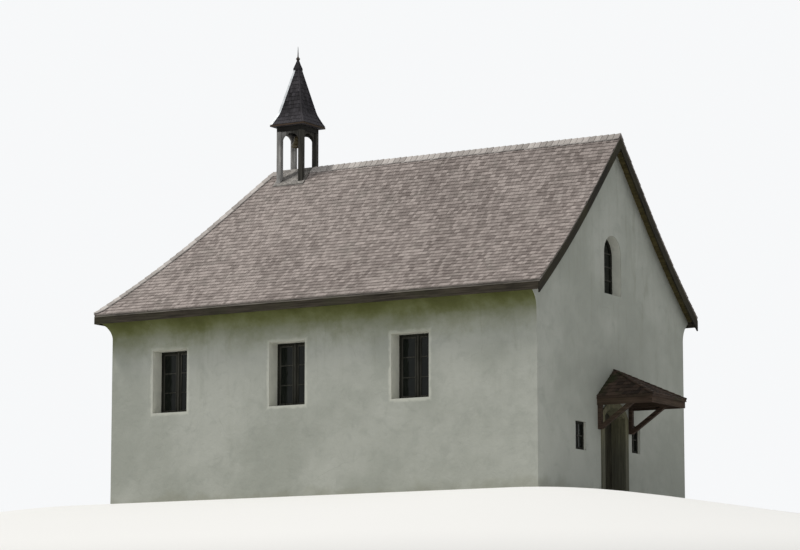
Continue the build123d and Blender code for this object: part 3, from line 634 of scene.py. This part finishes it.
# Shingles: lengths in metres, then shares of a shingle's drop or of a course

JOINT = 0.002
TRIM = 0.006
LEAST_WIDTH = 0.012
BUTT_BED = 0.004
LAYER_GAP = 0.002
SCATTER = 0.3
TWIST = 0.08
HEAD_SINK = 1.5
HEAD_THICKNESS = 0.4
HEAD_LAP = 0.4

# The bed under them

SLAB_STEPS = 24
SLAB_SETBACK = 0.006


def lay_row(shape, slope, butt, head, lift, drop, widths, rng):
    """One row of shingles, of uneven widths, each thick at its butt and thin at its head."""
    side, end = slope.limits(butt)
    side -= rng.uniform(0, widths[1])
    while side < end:
        width = rng.uniform(*widths)
        left, right = side + JOINT, side + width - JOINT
        side += width
        low_run = butt - rng.uniform(0, SCATTER) * drop
        trim = rng.uniform(0, TRIM)
        corners = []
        for run in (head, low_run):
            low, high = slope.limits(run)
            first = min(max(left, low + trim), high - trim)
            last = max(min(right, high - trim), low + trim)
            corners.append((run, first, max(first, last)))
        if corners[1][2] - corners[1][1] < LEAST_WIDTH:
            continue
        lifts = (lift - HEAD_SINK * drop, lift - rng.uniform(0, SCATTER) * drop)
        twist = rng.uniform(-TWIST, TWIST) * drop
        thick = (HEAD_THICKNESS * drop, drop + BUTT_BED)
        sections = []
        for (run, first, last), top, depth, turn in zip(corners, lifts, thick, (0.0, twist)):
            sections.append([
                slope.point(first, run, min(top + turn, lift)),
                slope.point(last, run, min(top - turn, lift)),
                slope.point(last, run, top - depth),
                slope.point(first, run, top - depth),
            ])
        shape.loft(sections)


def cover(shape, slope, exposure, widths, drop, rng, starters=2):
    """Lays a whole slope in rows, over one or two starter rows at the eave."""
    runs = slope.courses(exposure)
    for layer in range(starters, 0, -1):
        lift = -layer * (drop + LAYER_GAP)
        lay_row(shape, slope, runs[0], runs[1], lift, drop, widths, rng)
    for butt, above in zip(runs, runs[1:]):
        head = max(slope.start, above - HEAD_LAP * (butt - above))
        lay_row(shape, slope, butt, head, 0.0, drop, widths, rng)


def slab(shape, slope, depth, top, inset, slot=0):
    """The closed bed under a slope's shingles, down to a vertical depth."""
    length = slope.reach - SLAB_SETBACK - slope.start
    runs = [slope.start + length * k / SLAB_STEPS for k in range(SLAB_STEPS + 1)]
    sections = []
    for run in runs:
        low, high = slope.limits(run)
        middle = (low + high) / 2
        low, high = min(low + inset, middle), max(high - inset, middle)
        sections.append([
            slope.point(low, run, -top),
            slope.point(high, run, -top),
            slope.point(high, run) - UP * depth,
            slope.point(low, run) - UP * depth,
        ])
    shape.loft(sections, slot)


# Main roof

def long_limits(run):
    """Ends of a long slope at a run: the hip and the verge."""
    return RIDGE_END_X - HIP_SCALE * run, VERGE_X


def hip_limits(run):
    """Ends of a slope between two hips."""
    return -run, run


main_slopes = {
    "front": Slope((0, 0, 0), -NORTH, EAST, roof_height, HALF_SPAN, long_limits),
    "back": Slope((0, 0, 0), NORTH, EAST, roof_height, HALF_SPAN, long_limits),
    "hip": Slope((RIDGE_END_X, 0, 0), -EAST, NORTH, roof_height, HALF_SPAN, hip_limits, HIP_SCALE),
}
for number, (name, slope) in enumerate(main_slopes.items()):
    rng = random.Random(100 + number)
    roof = Shape()
    slab(roof, slope, SHINGLE_DEPTH, 0.034, 0.012, 1)
    cover(roof, slope, 0.125, (0.06, 0.13), 0.013, rng)
    built = roof.piece("roof_shingles_" + name, [ROOF, ROOF_EDGE])
    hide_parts("shingles_" + name)


# Caps of paired boards along the ridge and the hips

CAP_WING = 0.13
CAP_THICKNESS = 0.018
CAP_BUTT_LIFT = 0.034
CAP_HEAD_LIFT = 0.010
CAP_EXPOSURE = 0.15
CAP_OVERLAP = 0.5  # of a board's exposed length
CAP_TUCK = 0.02


def lay_caps(shape, start, end, rng):
    """Paired cap boards from the lower end of a line to its upper end."""
    start, end = Vector(start), Vector(end)
    length = (end - start).length
    way = (end - start) / length
    square = Vector((-way.y, way.x))
    count = max(1, round(length / CAP_EXPOSURE))
    for k in range(count):
        low, high = length * k / count, min(length, length * (k + 1 + CAP_OVERLAP) / count)
        for hand in (-1, 1):
            wing = hand * (CAP_WING - rng.uniform(0, 0.012))
            butt_lift = CAP_BUTT_LIFT - rng.uniform(0, 0.004)
            butt = low + rng.uniform(0, 0.006)
            sections = []
            for distance, lift in ((butt, butt_lift), (high, CAP_HEAD_LIFT)):
                ring = []
                for offset, drop in ((0, 0), (wing, 0), (wing, CAP_THICKNESS), (0, CAP_THICKNESS)):
                    x, y = start + way * distance + square * offset
                    x = max(x, HIP_EAVE_X)
                    y = min(max(y, -HALF_SPAN), HALF_SPAN)
                    ring.append((x, y, surface(x, y) + lift - drop))
                sections.append(ring)
            shape.loft(sections)


caps = Shape()
rng = random.Random(7)
for side in (FRONT, BACK):
    lay_caps(caps, (HIP_EAVE_X, side * HALF_SPAN), (RIDGE_END_X, 0), rng)
lay_caps(caps, (VERGE_X, 0), (apron_high.x - CAP_TUCK, 0), rng)
lay_caps(caps, (RIDGE_END_X - CAP_TUCK, 0), (apron_low.x + CAP_TUCK, 0), rng)
built = caps.piece("roof_cap_boards", [CAPS])
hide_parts("roof_caps")


# Spire of the turret: four shingled sides over a closed core, with metal strips on the hips

SPIRE_CORNERS = ((-1, -1), (1, -1), (1, 1), (-1, 1))
SPIRE_EDGE = 0.045
FLARE_HEIGHT = 0.34
FLARE_HALF = 0.32
TIP_HALF = 0.014
SPIRE_TIP = spire_high.z
SPIRE_HALF = (spire_high.x - spire_low.x) / 2
CORE_INSET = 0.016
CORE_TIP = 0.022
CORE_STEPS = 30
EDGE_BOARD_HEIGHT = 0.034
STRIP_STEPS = 18
STRIP_LIFT = 0.004
STRIP_BED = 0.008


def spire_height(run):
    """Height of the spire's surface at this distance from its axis."""
    if run < FLARE_HALF:
        share = (run - TIP_HALF) / (FLARE_HALF - TIP_HALF)
        return SPIRE_TIP + (SPIRE_FOOT + FLARE_HEIGHT - SPIRE_TIP) * share
    t = (SPIRE_HALF - run) / (SPIRE_HALF - FLARE_HALF)
    low, middle, high = (SPIRE_FOOT + rise for rise in (SPIRE_EDGE, FLARE_HEIGHT / 2, FLARE_HEIGHT))
    return (1 - t) ** 2 * low + 2 * t * (1 - t) * middle + t**2 * high


def square_ring(half, z):
    """A level square round the turret's axis."""
    return [(TURRET_X + half * a, half * b, z) for a, b in SPIRE_CORNERS]


spire = Shape()
rng = random.Random(31)
core_runs = [SPIRE_HALF + (CORE_TIP - SPIRE_HALF) * k / CORE_STEPS for k in range(CORE_STEPS + 1)]
core = [square_ring(SPIRE_HALF - CORE_INSET, SPIRE_FOOT)]
core += [square_ring(run - CORE_INSET, spire_height(run)) for run in core_runs]
spire.loft(core)
for outward, along in ((-NORTH, EAST), (NORTH, EAST), (EAST, NORTH), (-EAST, NORTH)):
    side = Slope((TURRET_X, 0, 0), outward, along, spire_height, SPIRE_HALF, hip_limits, 1.0, TIP_HALF)
    cover(spire, side, 0.1, (0.055, 0.1), 0.009, rng, 1)

# Edge boards round the spire's foot
inner = SPIRE_HALF - CORE_INSET
board_top = SPIRE_FOOT + EDGE_BOARD_HEIGHT
west, east = TURRET_X - SPIRE_HALF, TURRET_X + SPIRE_HALF
for hand in (-1, 1):
    near, far = sorted((hand * inner, hand * SPIRE_HALF))
    spire.block((west, near, SPIRE_FOOT), (east, far, board_top), 1)
    spire.block((TURRET_X + near, -inner, SPIRE_FOOT), (TURRET_X + far, inner, board_top), 1)
built = spire.piece("spire_shingles", [SPIRE, CANOPY_TIMBER])
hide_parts("turret_spire")

# Metal strips down the spire's hips, zinc on the west hips and coloured like the dark spire shingles on
# the east hips as painted shade, and a cap at its tip
trim = Shape()
strip_foot, strip_reach = SPIRE_HALF - 0.002, 0.07 - SPIRE_HALF
strip_runs = [strip_foot + strip_reach * k / STRIP_STEPS for k in range(STRIP_STEPS + 1)]
for a, b in SPIRE_CORNERS:
    on_sun_side = a < 0
    sections = []
    for run in strip_runs:
        wing = 0.042 + 0.04 * run if on_sun_side else 0.025 + 0.02 * run
        outer, inner = run + STRIP_LIFT, run - STRIP_BED
        ring = ((run - wing, outer), (outer, outer), (outer, run - wing),
                (inner, run - wing), (inner, inner), (run - wing, inner))
        sections.append([(TURRET_X + a * u, b * v, spire_height(run)) for u, v in ring])
    # East strips take the spire's shingle colour as painted shade
    trim.loft(sections, 0 if on_sun_side else 1)
cap_rings = ((0.079, 0.07), (0.080, 0.060), (0.05, 0.038), (0.022, 0.014))
trim.loft([square_ring(half, spire_height(run)) for half, run in cap_rings], 1)
trim.piece("spire_strips", [ZINC, SPIRE])


# Canopy over the door

canopy_low, canopy_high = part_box("canopy_roof")
CANOPY_HALF = canopy_high.y
CANOPY_BACK = canopy_low.x
CANOPY_REACH = canopy_high.x - canopy_low.x
CANOPY_SKIN = 0.07
CANOPY_EAVE = canopy_low.z + CANOPY_SKIN
CANOPY_APEX = canopy_high.z
CANOPY_RISE = CANOPY_APEX - CANOPY_EAVE
HIP_BOARDS = 12
HIP_BOARD_REACH = 1.4  # of the room that each has
HIP_BOARD_THICKNESS = 0.02


def side_height(run):
    """Height of the canopy's side slopes."""
    return CANOPY_APEX - CANOPY_RISE * run / CANOPY_HALF


def front_height(run):
    """Height of the canopy's front slope."""
    return CANOPY_APEX - CANOPY_RISE * run / CANOPY_REACH


def side_limits(run):
    """Ends of a side slope: the wall and the hip."""
    return 0.0, CANOPY_REACH * run / CANOPY_HALF


def front_limits(run):
    """Ends of the front slope, from hip to hip."""
    return -CANOPY_HALF * run / CANOPY_REACH, CANOPY_HALF * run / CANOPY_REACH


canopy_top = (CANOPY_BACK, 0, 0)
canopy_slopes = [
    Slope(canopy_top, -NORTH, EAST, side_height, CANOPY_HALF, side_limits),
    Slope(canopy_top, NORTH, EAST, side_height, CANOPY_HALF, side_limits),
    Slope(canopy_top, EAST, NORTH, front_height, CANOPY_REACH, front_limits),
]
canopy = Shape()
rng = random.Random(53)
for slope in canopy_slopes:
    slab(canopy, slope, CANOPY_SKIN, 0.026, 0.0)
    cover(canopy, slope, 0.13, (0.06, 0.12), 0.012, rng)

# Paired boards on the canopy's hips
apex = Vector((CANOPY_BACK, 0, CANOPY_APEX))
for hand in (-1, 1):
    foot = Vector((CANOPY_BACK + CANOPY_REACH, hand * CANOPY_HALF, CANOPY_EAVE))
    for k in range(HIP_BOARDS):
        low = foot.lerp(apex, k / HIP_BOARDS)
        high = foot.lerp(apex, min(1, (k + HIP_BOARD_REACH) / HIP_BOARDS))
        for wing in (Vector((-0.055, 0, 0)), Vector((0, -hand * 0.06, 0))):
            rings = []
            for place, lift in ((low, 0.020), (high, 0.006)):
                inward = place + (wing if (place - apex).length > 0.1 else wing * 0.4)
                top, bottom = UP * lift, UP * (lift - HIP_BOARD_THICKNESS)
                rings.append([place + top, inward + top, inward + bottom, place + bottom])
            canopy.loft(rings)
built = canopy.piece("canopy_shingles", [CANOPY])
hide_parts("canopy_roof")


# Glazing bars, casement rims and drip boards

bars = Shape()
FRAME_FACE = -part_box("window_frames")[0].y
SASH_WIDTH = 0.055
PANE_FOOT = WINDOW_SILL + SASH_WIDTH
PANE_HEAD = WINDOW_SILL + WINDOW_HEIGHT - SASH_WIDTH
PANE_WIDTH = 0.355
MULLION = 0.1
MULLION_STRIP_HALF = 0.022
RIM = 0.028
RIM_HEAD = 0.03
RIM_FOOT = 0.04
RIM_DEPTHS = (0.008, 0.027)
DRIP_DEPTHS = (-0.018, 0.009)
DRIP_HEIGHTS = (PANE_FOOT + 0.004, PANE_FOOT + 0.03)
MULLION_STRIP_DEPTHS = (-0.012, 0.001)
BAR_DEPTHS = (0.010, 0.027)
INNER_BAR_DEPTHS = (0.033, 0.052)
BAR_HALF = 0.011


def wall_block(side, x_span, depths, z_span):
    """A block in a long wall's window, between two depths behind the frame's face."""
    y_span = sorted(side * (FRAME_FACE - depth) for depth in depths)
    low, high = zip(x_span, y_span, z_span)
    bars.block(low, high)


for side in (FRONT, BACK):
    for middle in WINDOW_PLACES:
        for hand in (-1, 1):
            centre = middle + hand * (PANE_WIDTH + MULLION) / 2
            low, high = centre - PANE_WIDTH / 2, centre + PANE_WIDTH / 2
            within = (low + RIM, high - RIM)
            wall_block(side, (low, low + RIM), RIM_DEPTHS, (PANE_FOOT, PANE_HEAD))
            wall_block(side, (high - RIM, high), RIM_DEPTHS, (PANE_FOOT, PANE_HEAD))
            wall_block(side, within, RIM_DEPTHS, (PANE_HEAD - RIM_HEAD, PANE_HEAD))
            wall_block(side, within, RIM_DEPTHS, (PANE_FOOT, PANE_FOOT + RIM_FOOT))
            wall_block(side, (low, high), DRIP_DEPTHS, DRIP_HEIGHTS)
            for third in (1, 2):
                z = PANE_FOOT + (PANE_HEAD - PANE_FOOT) * third / 3
                heights = (z - BAR_HALF, z + BAR_HALF)
                wall_block(side, within, BAR_DEPTHS, heights)
                wall_block(side, (low + 0.01, high - 0.01), INNER_BAR_DEPTHS, heights)
        strip = (middle - MULLION_STRIP_HALF, middle + MULLION_STRIP_HALF)
        wall_block(side, strip, MULLION_STRIP_DEPTHS, (PANE_FOOT - 0.02, PANE_HEAD + 0.02))

# The slit window in the gable
SLIT_DEPTH = 0.22
SLIT_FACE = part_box("gable_wall_top")[1].x - SLIT_DEPTH
SLIT_FOOT, SLIT_SPRING, SLIT_CROWN = 4.455, 5.29, 5.635
SLIT_HALF = 0.345
SLIT_BAR_HALF = 0.012
for back, deep in ((0.006, 0.027), (0.033, 0.05)):
    near, far = SLIT_FACE - deep, SLIT_FACE - back
    bars.block((near, -SLIT_BAR_HALF, SLIT_FOOT), (far, SLIT_BAR_HALF, SLIT_CROWN))
    for quarter in (1, 2, 3):
        z = SLIT_FOOT + (SLIT_CROWN - SLIT_FOOT) * quarter / 4
        half = SLIT_HALF if z < SLIT_SPRING else math.sqrt(SLIT_HALF**2 - (z - SLIT_SPRING) ** 2)
        for low, high in ((-half, -SLIT_BAR_HALF), (SLIT_BAR_HALF, half)):
            bars.block((near, low, z - SLIT_BAR_HALF), (far, high, z + SLIT_BAR_HALF))

# The two small windows beside the door, each with its middle, width and sill
LIGHT_DEPTH = 0.06
LIGHT_FACE = SLIT_FACE + SLIT_DEPTH - LIGHT_DEPTH
LIGHT_HEIGHT = 0.6
for middle, width, sill in ((-1.55, 0.48, 0.95), (1.03, 0.40, 1.05)):
    half = width / 2 - SASH_WIDTH
    low, high = sill + SASH_WIDTH, sill + LIGHT_HEIGHT - SASH_WIDTH
    z = (low + high) / 2
    near, far = LIGHT_FACE - 0.027, LIGHT_FACE - 0.006
    bars.block((near, middle - BAR_HALF, low), (far, middle + BAR_HALF, high))
    bars.block((near, middle - half, z - BAR_HALF), (far, middle - BAR_HALF, z + BAR_HALF))
    bars.block((near, middle + BAR_HALF, z - BAR_HALF), (far, middle + half, z + BAR_HALF))
bars.piece("window_bars", [BAR_TIMBER], bevel=0.002)


# Door: arched boards on two ledges, with nails and a lever handle

leaf_low, leaf_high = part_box("door_leaf")
LEAF_FACE = leaf_high.x
LEAF_BACK = leaf_low.x
LEAF_HALF = leaf_high.y
LEAF_FOOT = leaf_low.z
LEAF_CROWN = leaf_high.z
LEAF_SAGITTA = 0.219
leaf_radius = (LEAF_HALF**2 + LEAF_SAGITTA**2) / (2 * LEAF_SAGITTA)
BOARDS = 7
BOARD_BACK = LEAF_FACE - 0.028
BOARD_WIDTH = 2 * LEAF_HALF / BOARDS
BOARD_SECTIONS = ((BOARD_BACK, 0.0006), (LEAF_FACE - 0.004, 0.0006), (LEAF_FACE, 0.0045))
TOP_STEPS = 4
LEDGE_HEIGHTS = (0.44, 1.59)
LEDGE_HALF_LENGTH = 0.455
LEDGE_HALF_WIDTH = 0.07
HANDLE_Y, HANDLE_Z = -0.415, 1.05


def leaf_top(y):
    """Height of the leaf's arched top."""
    return LEAF_CROWN - leaf_radius + math.sqrt(leaf_radius**2 - y**2)


def at_handle(x, y, z):
    """A place given from the leaf's face behind the handle."""
    return LEAF_FACE + x, HANDLE_Y + y, HANDLE_Z + z


door = Shape()
for k in range(BOARDS):
    low = -LEAF_HALF + k * BOARD_WIDTH
    sections = []
    for x, inset in BOARD_SECTIONS:
        left, right = low + inset, low + BOARD_WIDTH - inset
        ring = [(x, left, LEAF_FOOT + inset), (x, right, LEAF_FOOT + inset)]
        for step in range(TOP_STEPS + 1):
            y = right + (left - right) * step / TOP_STEPS
            ring.append((x, y, leaf_top(y) - inset))
        sections.append(ring)
    door.loft(sections)
for z in LEDGE_HEIGHTS:
    door.block((LEAF_BACK, -LEDGE_HALF_LENGTH, z - LEDGE_HALF_WIDTH),
               (BOARD_BACK + 0.001, LEDGE_HALF_LENGTH, z + LEDGE_HALF_WIDTH))
    for k in range(BOARDS):
        for rise in (-0.035, 0.035):
            y = -LEAF_HALF + (k + 0.5) * BOARD_WIDTH
            nail = [(LEAF_FACE + proud, y, z + rise) for proud in (-0.002, 0.002, 0.005)]
            door.rod(nail, (0.008, 0.008, 0.003), 8, 1)
door.block(at_handle(-0.001, -0.022, -0.12), at_handle(0.004, 0.022, 0.09), 1)
door.rod((at_handle(0, 0, 0), at_handle(0.045, 0, 0)), (0.010, 0.009), 12, 1)
lever = (at_handle(0.040, -0.012, 0), at_handle(0.042, 0.05, -0.002), at_handle(0.040, 0.115, -0.008))
door.rod(lever, (0.009, 0.008, 0.010), 12, 1)
door.rod((at_handle(0.003, 0, -0.075), at_handle(0.006, 0, -0.075)), (0.007, 0.006), 10, 1)
built = door.piece("door_boards", [DOOR, IRON], "door")
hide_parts("door_leaf")


# Bell, with a curved profile and a clapper

bell_low, bell_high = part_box("bell")
BELL_LIP = bell_low.z
BELL_CROWN = BELL_LIP + 0.26
BELL_PLACE = (TURRET_X, 0)


def above_lip(profile):
    """A profile given from the bell's lip, lifted to its height in the turret."""
    return [(radius, BELL_LIP + rise) for radius, rise in profile]


bell = Shape()
outside = ((0.008, 0.262), (0.045, 0.260), (0.068, 0.250), (0.078, 0.228), (0.083, 0.19),
           (0.090, 0.145), (0.102, 0.10), (0.120, 0.055), (0.142, 0.02), (0.154, 0.004), (0.152, 0.0))
inside = ((0.132, 0.0), (0.126, 0.015), (0.106, 0.055), (0.090, 0.10), (0.078, 0.145),
          (0.070, 0.19), (0.064, 0.225), (0.040, 0.243), (0.006, 0.245))
bell.turned(BELL_PLACE, above_lip(outside + inside))
for rise, radius in ((0.232, 0.0795), (0.062, 0.119), (0.028, 0.139)):
    ring = ((radius - 0.004, rise - 0.006), (radius + 0.001, rise - 0.004),
            (radius + 0.001, rise + 0.002), (radius - 0.004, rise + 0.004))
    bell.turned(BELL_PLACE, above_lip(ring))

# Clapper on its rod, and the crown's loops
bell.rod(((TURRET_X, 0, BELL_LIP + 0.246), (TURRET_X, 0, BELL_LIP + 0.06)), (0.006, 0.006), 10, 1)
clapper = ((0.004, 0.072), (0.018, 0.064), (0.026, 0.046),
           (0.020, 0.026), (0.009, 0.004), (0.004, 0.002))
bell.turned(BELL_PLACE, above_lip(clapper), 20, 1)
for hand in (-1, 1):
    loop = ((TURRET_X + hand * 0.024, 0, BELL_CROWN - 0.004),
            (TURRET_X + hand * 0.034, 0, BELL_CROWN + 0.035),
            (TURRET_X + hand * 0.020, 0, bell_high.z))
    bell.rod(loop, (0.010, 0.009, 0.009), 10, 1)
bell.rod(((TURRET_X, 0, BELL_CROWN - 0.004), (TURRET_X, 0, bell_high.z)), (0.014, 0.012), 10, 1)
built = bell.piece("bell_casting", [BRONZE, IRON], smooth=True)
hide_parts("bell")


# Floor: pale ground that falls away gently on all sides

LEVEL_RIM = 0.5
GROUND_SLOPE = 0.17
GROUND_EASE = 1.2
ARC_STEPS = 10
DISTANCES = [0.0, 0.3, 0.5, 0.7, 0.9, 1.2, 1.6, 2.1, 2.8, 3.6, 5, 7, 10, 14, 18, 24]


def ground_fall(distance):
    """How far the ground has fallen at this distance from the walls."""
    past = max(0.0, distance - LEVEL_RIM)
    return GROUND_SLOPE * (past - GROUND_EASE * (1 - math.exp(-past / GROUND_EASE)))


ground_points = []
for distance in DISTANCES:
    for quarter, (a, b) in enumerate(((1, 1), (-1, 1), (-1, -1), (1, -1))):
        for step in range(ARC_STEPS + 1):
            angle = math.pi / 2 * (quarter + step / ARC_STEPS)
            x = a * HALF_LENGTH + distance * math.cos(angle)
            y = b * HALF_WIDTH + distance * math.sin(angle)
            ground_points.append((x, y, -ground_fall(distance)))
around = 4 * (ARC_STEPS + 1)
ground_faces = [tuple(range(around))]
for k in range(len(DISTANCES) - 1):
    inner, outer = k * around, (k + 1) * around
    for i in range(around):
        j = (i + 1) % around
        ground_faces.append((inner + i, outer + i, outer + j, inner + j))
ground_mesh = bpy.data.meshes.new("floor")
ground_mesh.from_pydata(ground_points, [], ground_faces)
ground_mesh.polygons.foreach_set("use_smooth", [True] * len(ground_mesh.polygons))
ground = bpy.data.objects.new("floor", ground_mesh)
bpy.context.scene.collection.objects.link(ground)
ground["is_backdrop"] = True

f = Finish("floor", roughness=0.95)
f.shader.inputs["Base Color"].default_value = (0.80, 0.80, 0.78, 1)
past_x = f.math("MAXIMUM", f.minus(f.math("ABSOLUTE", f.x), HALF_LENGTH), 0.0)
past_y = f.math("MAXIMUM", f.minus(f.math("ABSOLUTE", f.y), HALF_WIDTH), 0.0)
away = f.math("SQRT", f.plus(f.times(past_x, past_x), f.times(past_y, past_y)))
clear = f.add("ShaderNodeBsdfTransparent").outputs[0]
blended = f.add("ShaderNodeMixShader", f.fade(away, 9.0, 22.0), f.shader.outputs[0], clear)
output = f.tree.nodes["Material Output"]
f.tree.links.new(blended.outputs[0], output.inputs["Surface"])
ground_mesh.materials.append(f.material)


# Light: an even pale surround, a soft high sun from the left and a weak fill

scene = bpy.context.scene
scene.view_settings.view_transform = "Standard"
world = bpy.data.worlds.new("surround")
world.use_nodes = True
scene.world = world
tree = world.node_tree
lit = tree.nodes["Background"]
lit.inputs["Color"].default_value = (0.96, 0.975, 1.0, 1)
lit.inputs["Strength"].default_value = 0.48
seen = tree.nodes.new("ShaderNodeBackground")
seen.inputs["Color"].default_value = (0.93, 0.94, 0.95, 1)
rays = tree.nodes.new("ShaderNodeLightPath")
direct = rays.outputs["Is Camera Ray"]
for kind in ("Is Glossy Ray", "Is Transmission Ray"):
    either = tree.nodes.new("ShaderNodeMath")
    either.operation = "MAXIMUM"
    tree.links.new(direct, either.inputs[0])
    tree.links.new(rays.outputs[kind], either.inputs[1])
    direct = either.outputs[0]
chosen = tree.nodes.new("ShaderNodeMixShader")
tree.links.new(direct, chosen.inputs[0])
tree.links.new(lit.outputs[0], chosen.inputs[1])
tree.links.new(seen.outputs[0], chosen.inputs[2])
tree.links.new(chosen.outputs[0], tree.nodes["World Output"].inputs["Surface"])


def sun(name, towards, energy, angle, colour):
    """A distant lamp, from the direction given."""
    lamp = bpy.data.lights.new(name, "SUN")
    lamp.energy = energy
    lamp.angle = angle
    lamp.color = colour
    placed = bpy.data.objects.new(name, lamp)
    placed.rotation_mode = "QUATERNION"
    placed.rotation_quaternion = Vector(towards).to_track_quat("Z", "Y")
    scene.collection.objects.link(placed)


sun("sun", (-0.50, -0.24, 1.0), 2.3, 0.14, (1.0, 0.97, 0.93))
sun("fill", (0.75, -0.9, 0.35), 0.25, 1.2, (0.95, 0.98, 1.0))


# Camera: the photograph's own standpoint and direction, with the chapel filling the frame

YAW = math.radians(32.17)
AIM_RIGHT, AIM_UP = 0.0193, 0.1437
forward = Vector((-math.sin(YAW), math.cos(YAW), 0))
rightward = Vector((math.cos(YAW), math.sin(YAW), 0))
lens = bpy.data.cameras.new("camera")
lens.lens = 132.75
lens.sensor_width = 36.0
lens.clip_end = 300.0
camera = bpy.data.objects.new("camera", lens)
camera.location = (33.99, -56.36, -4.22)
camera.rotation_mode = "QUATERNION"
aim = forward + AIM_RIGHT * rightward + AIM_UP * UP
camera.rotation_quaternion = aim.to_track_quat("-Z", "Y")
scene.collection.objects.link(camera)
scene.camera = camera

low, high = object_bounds()
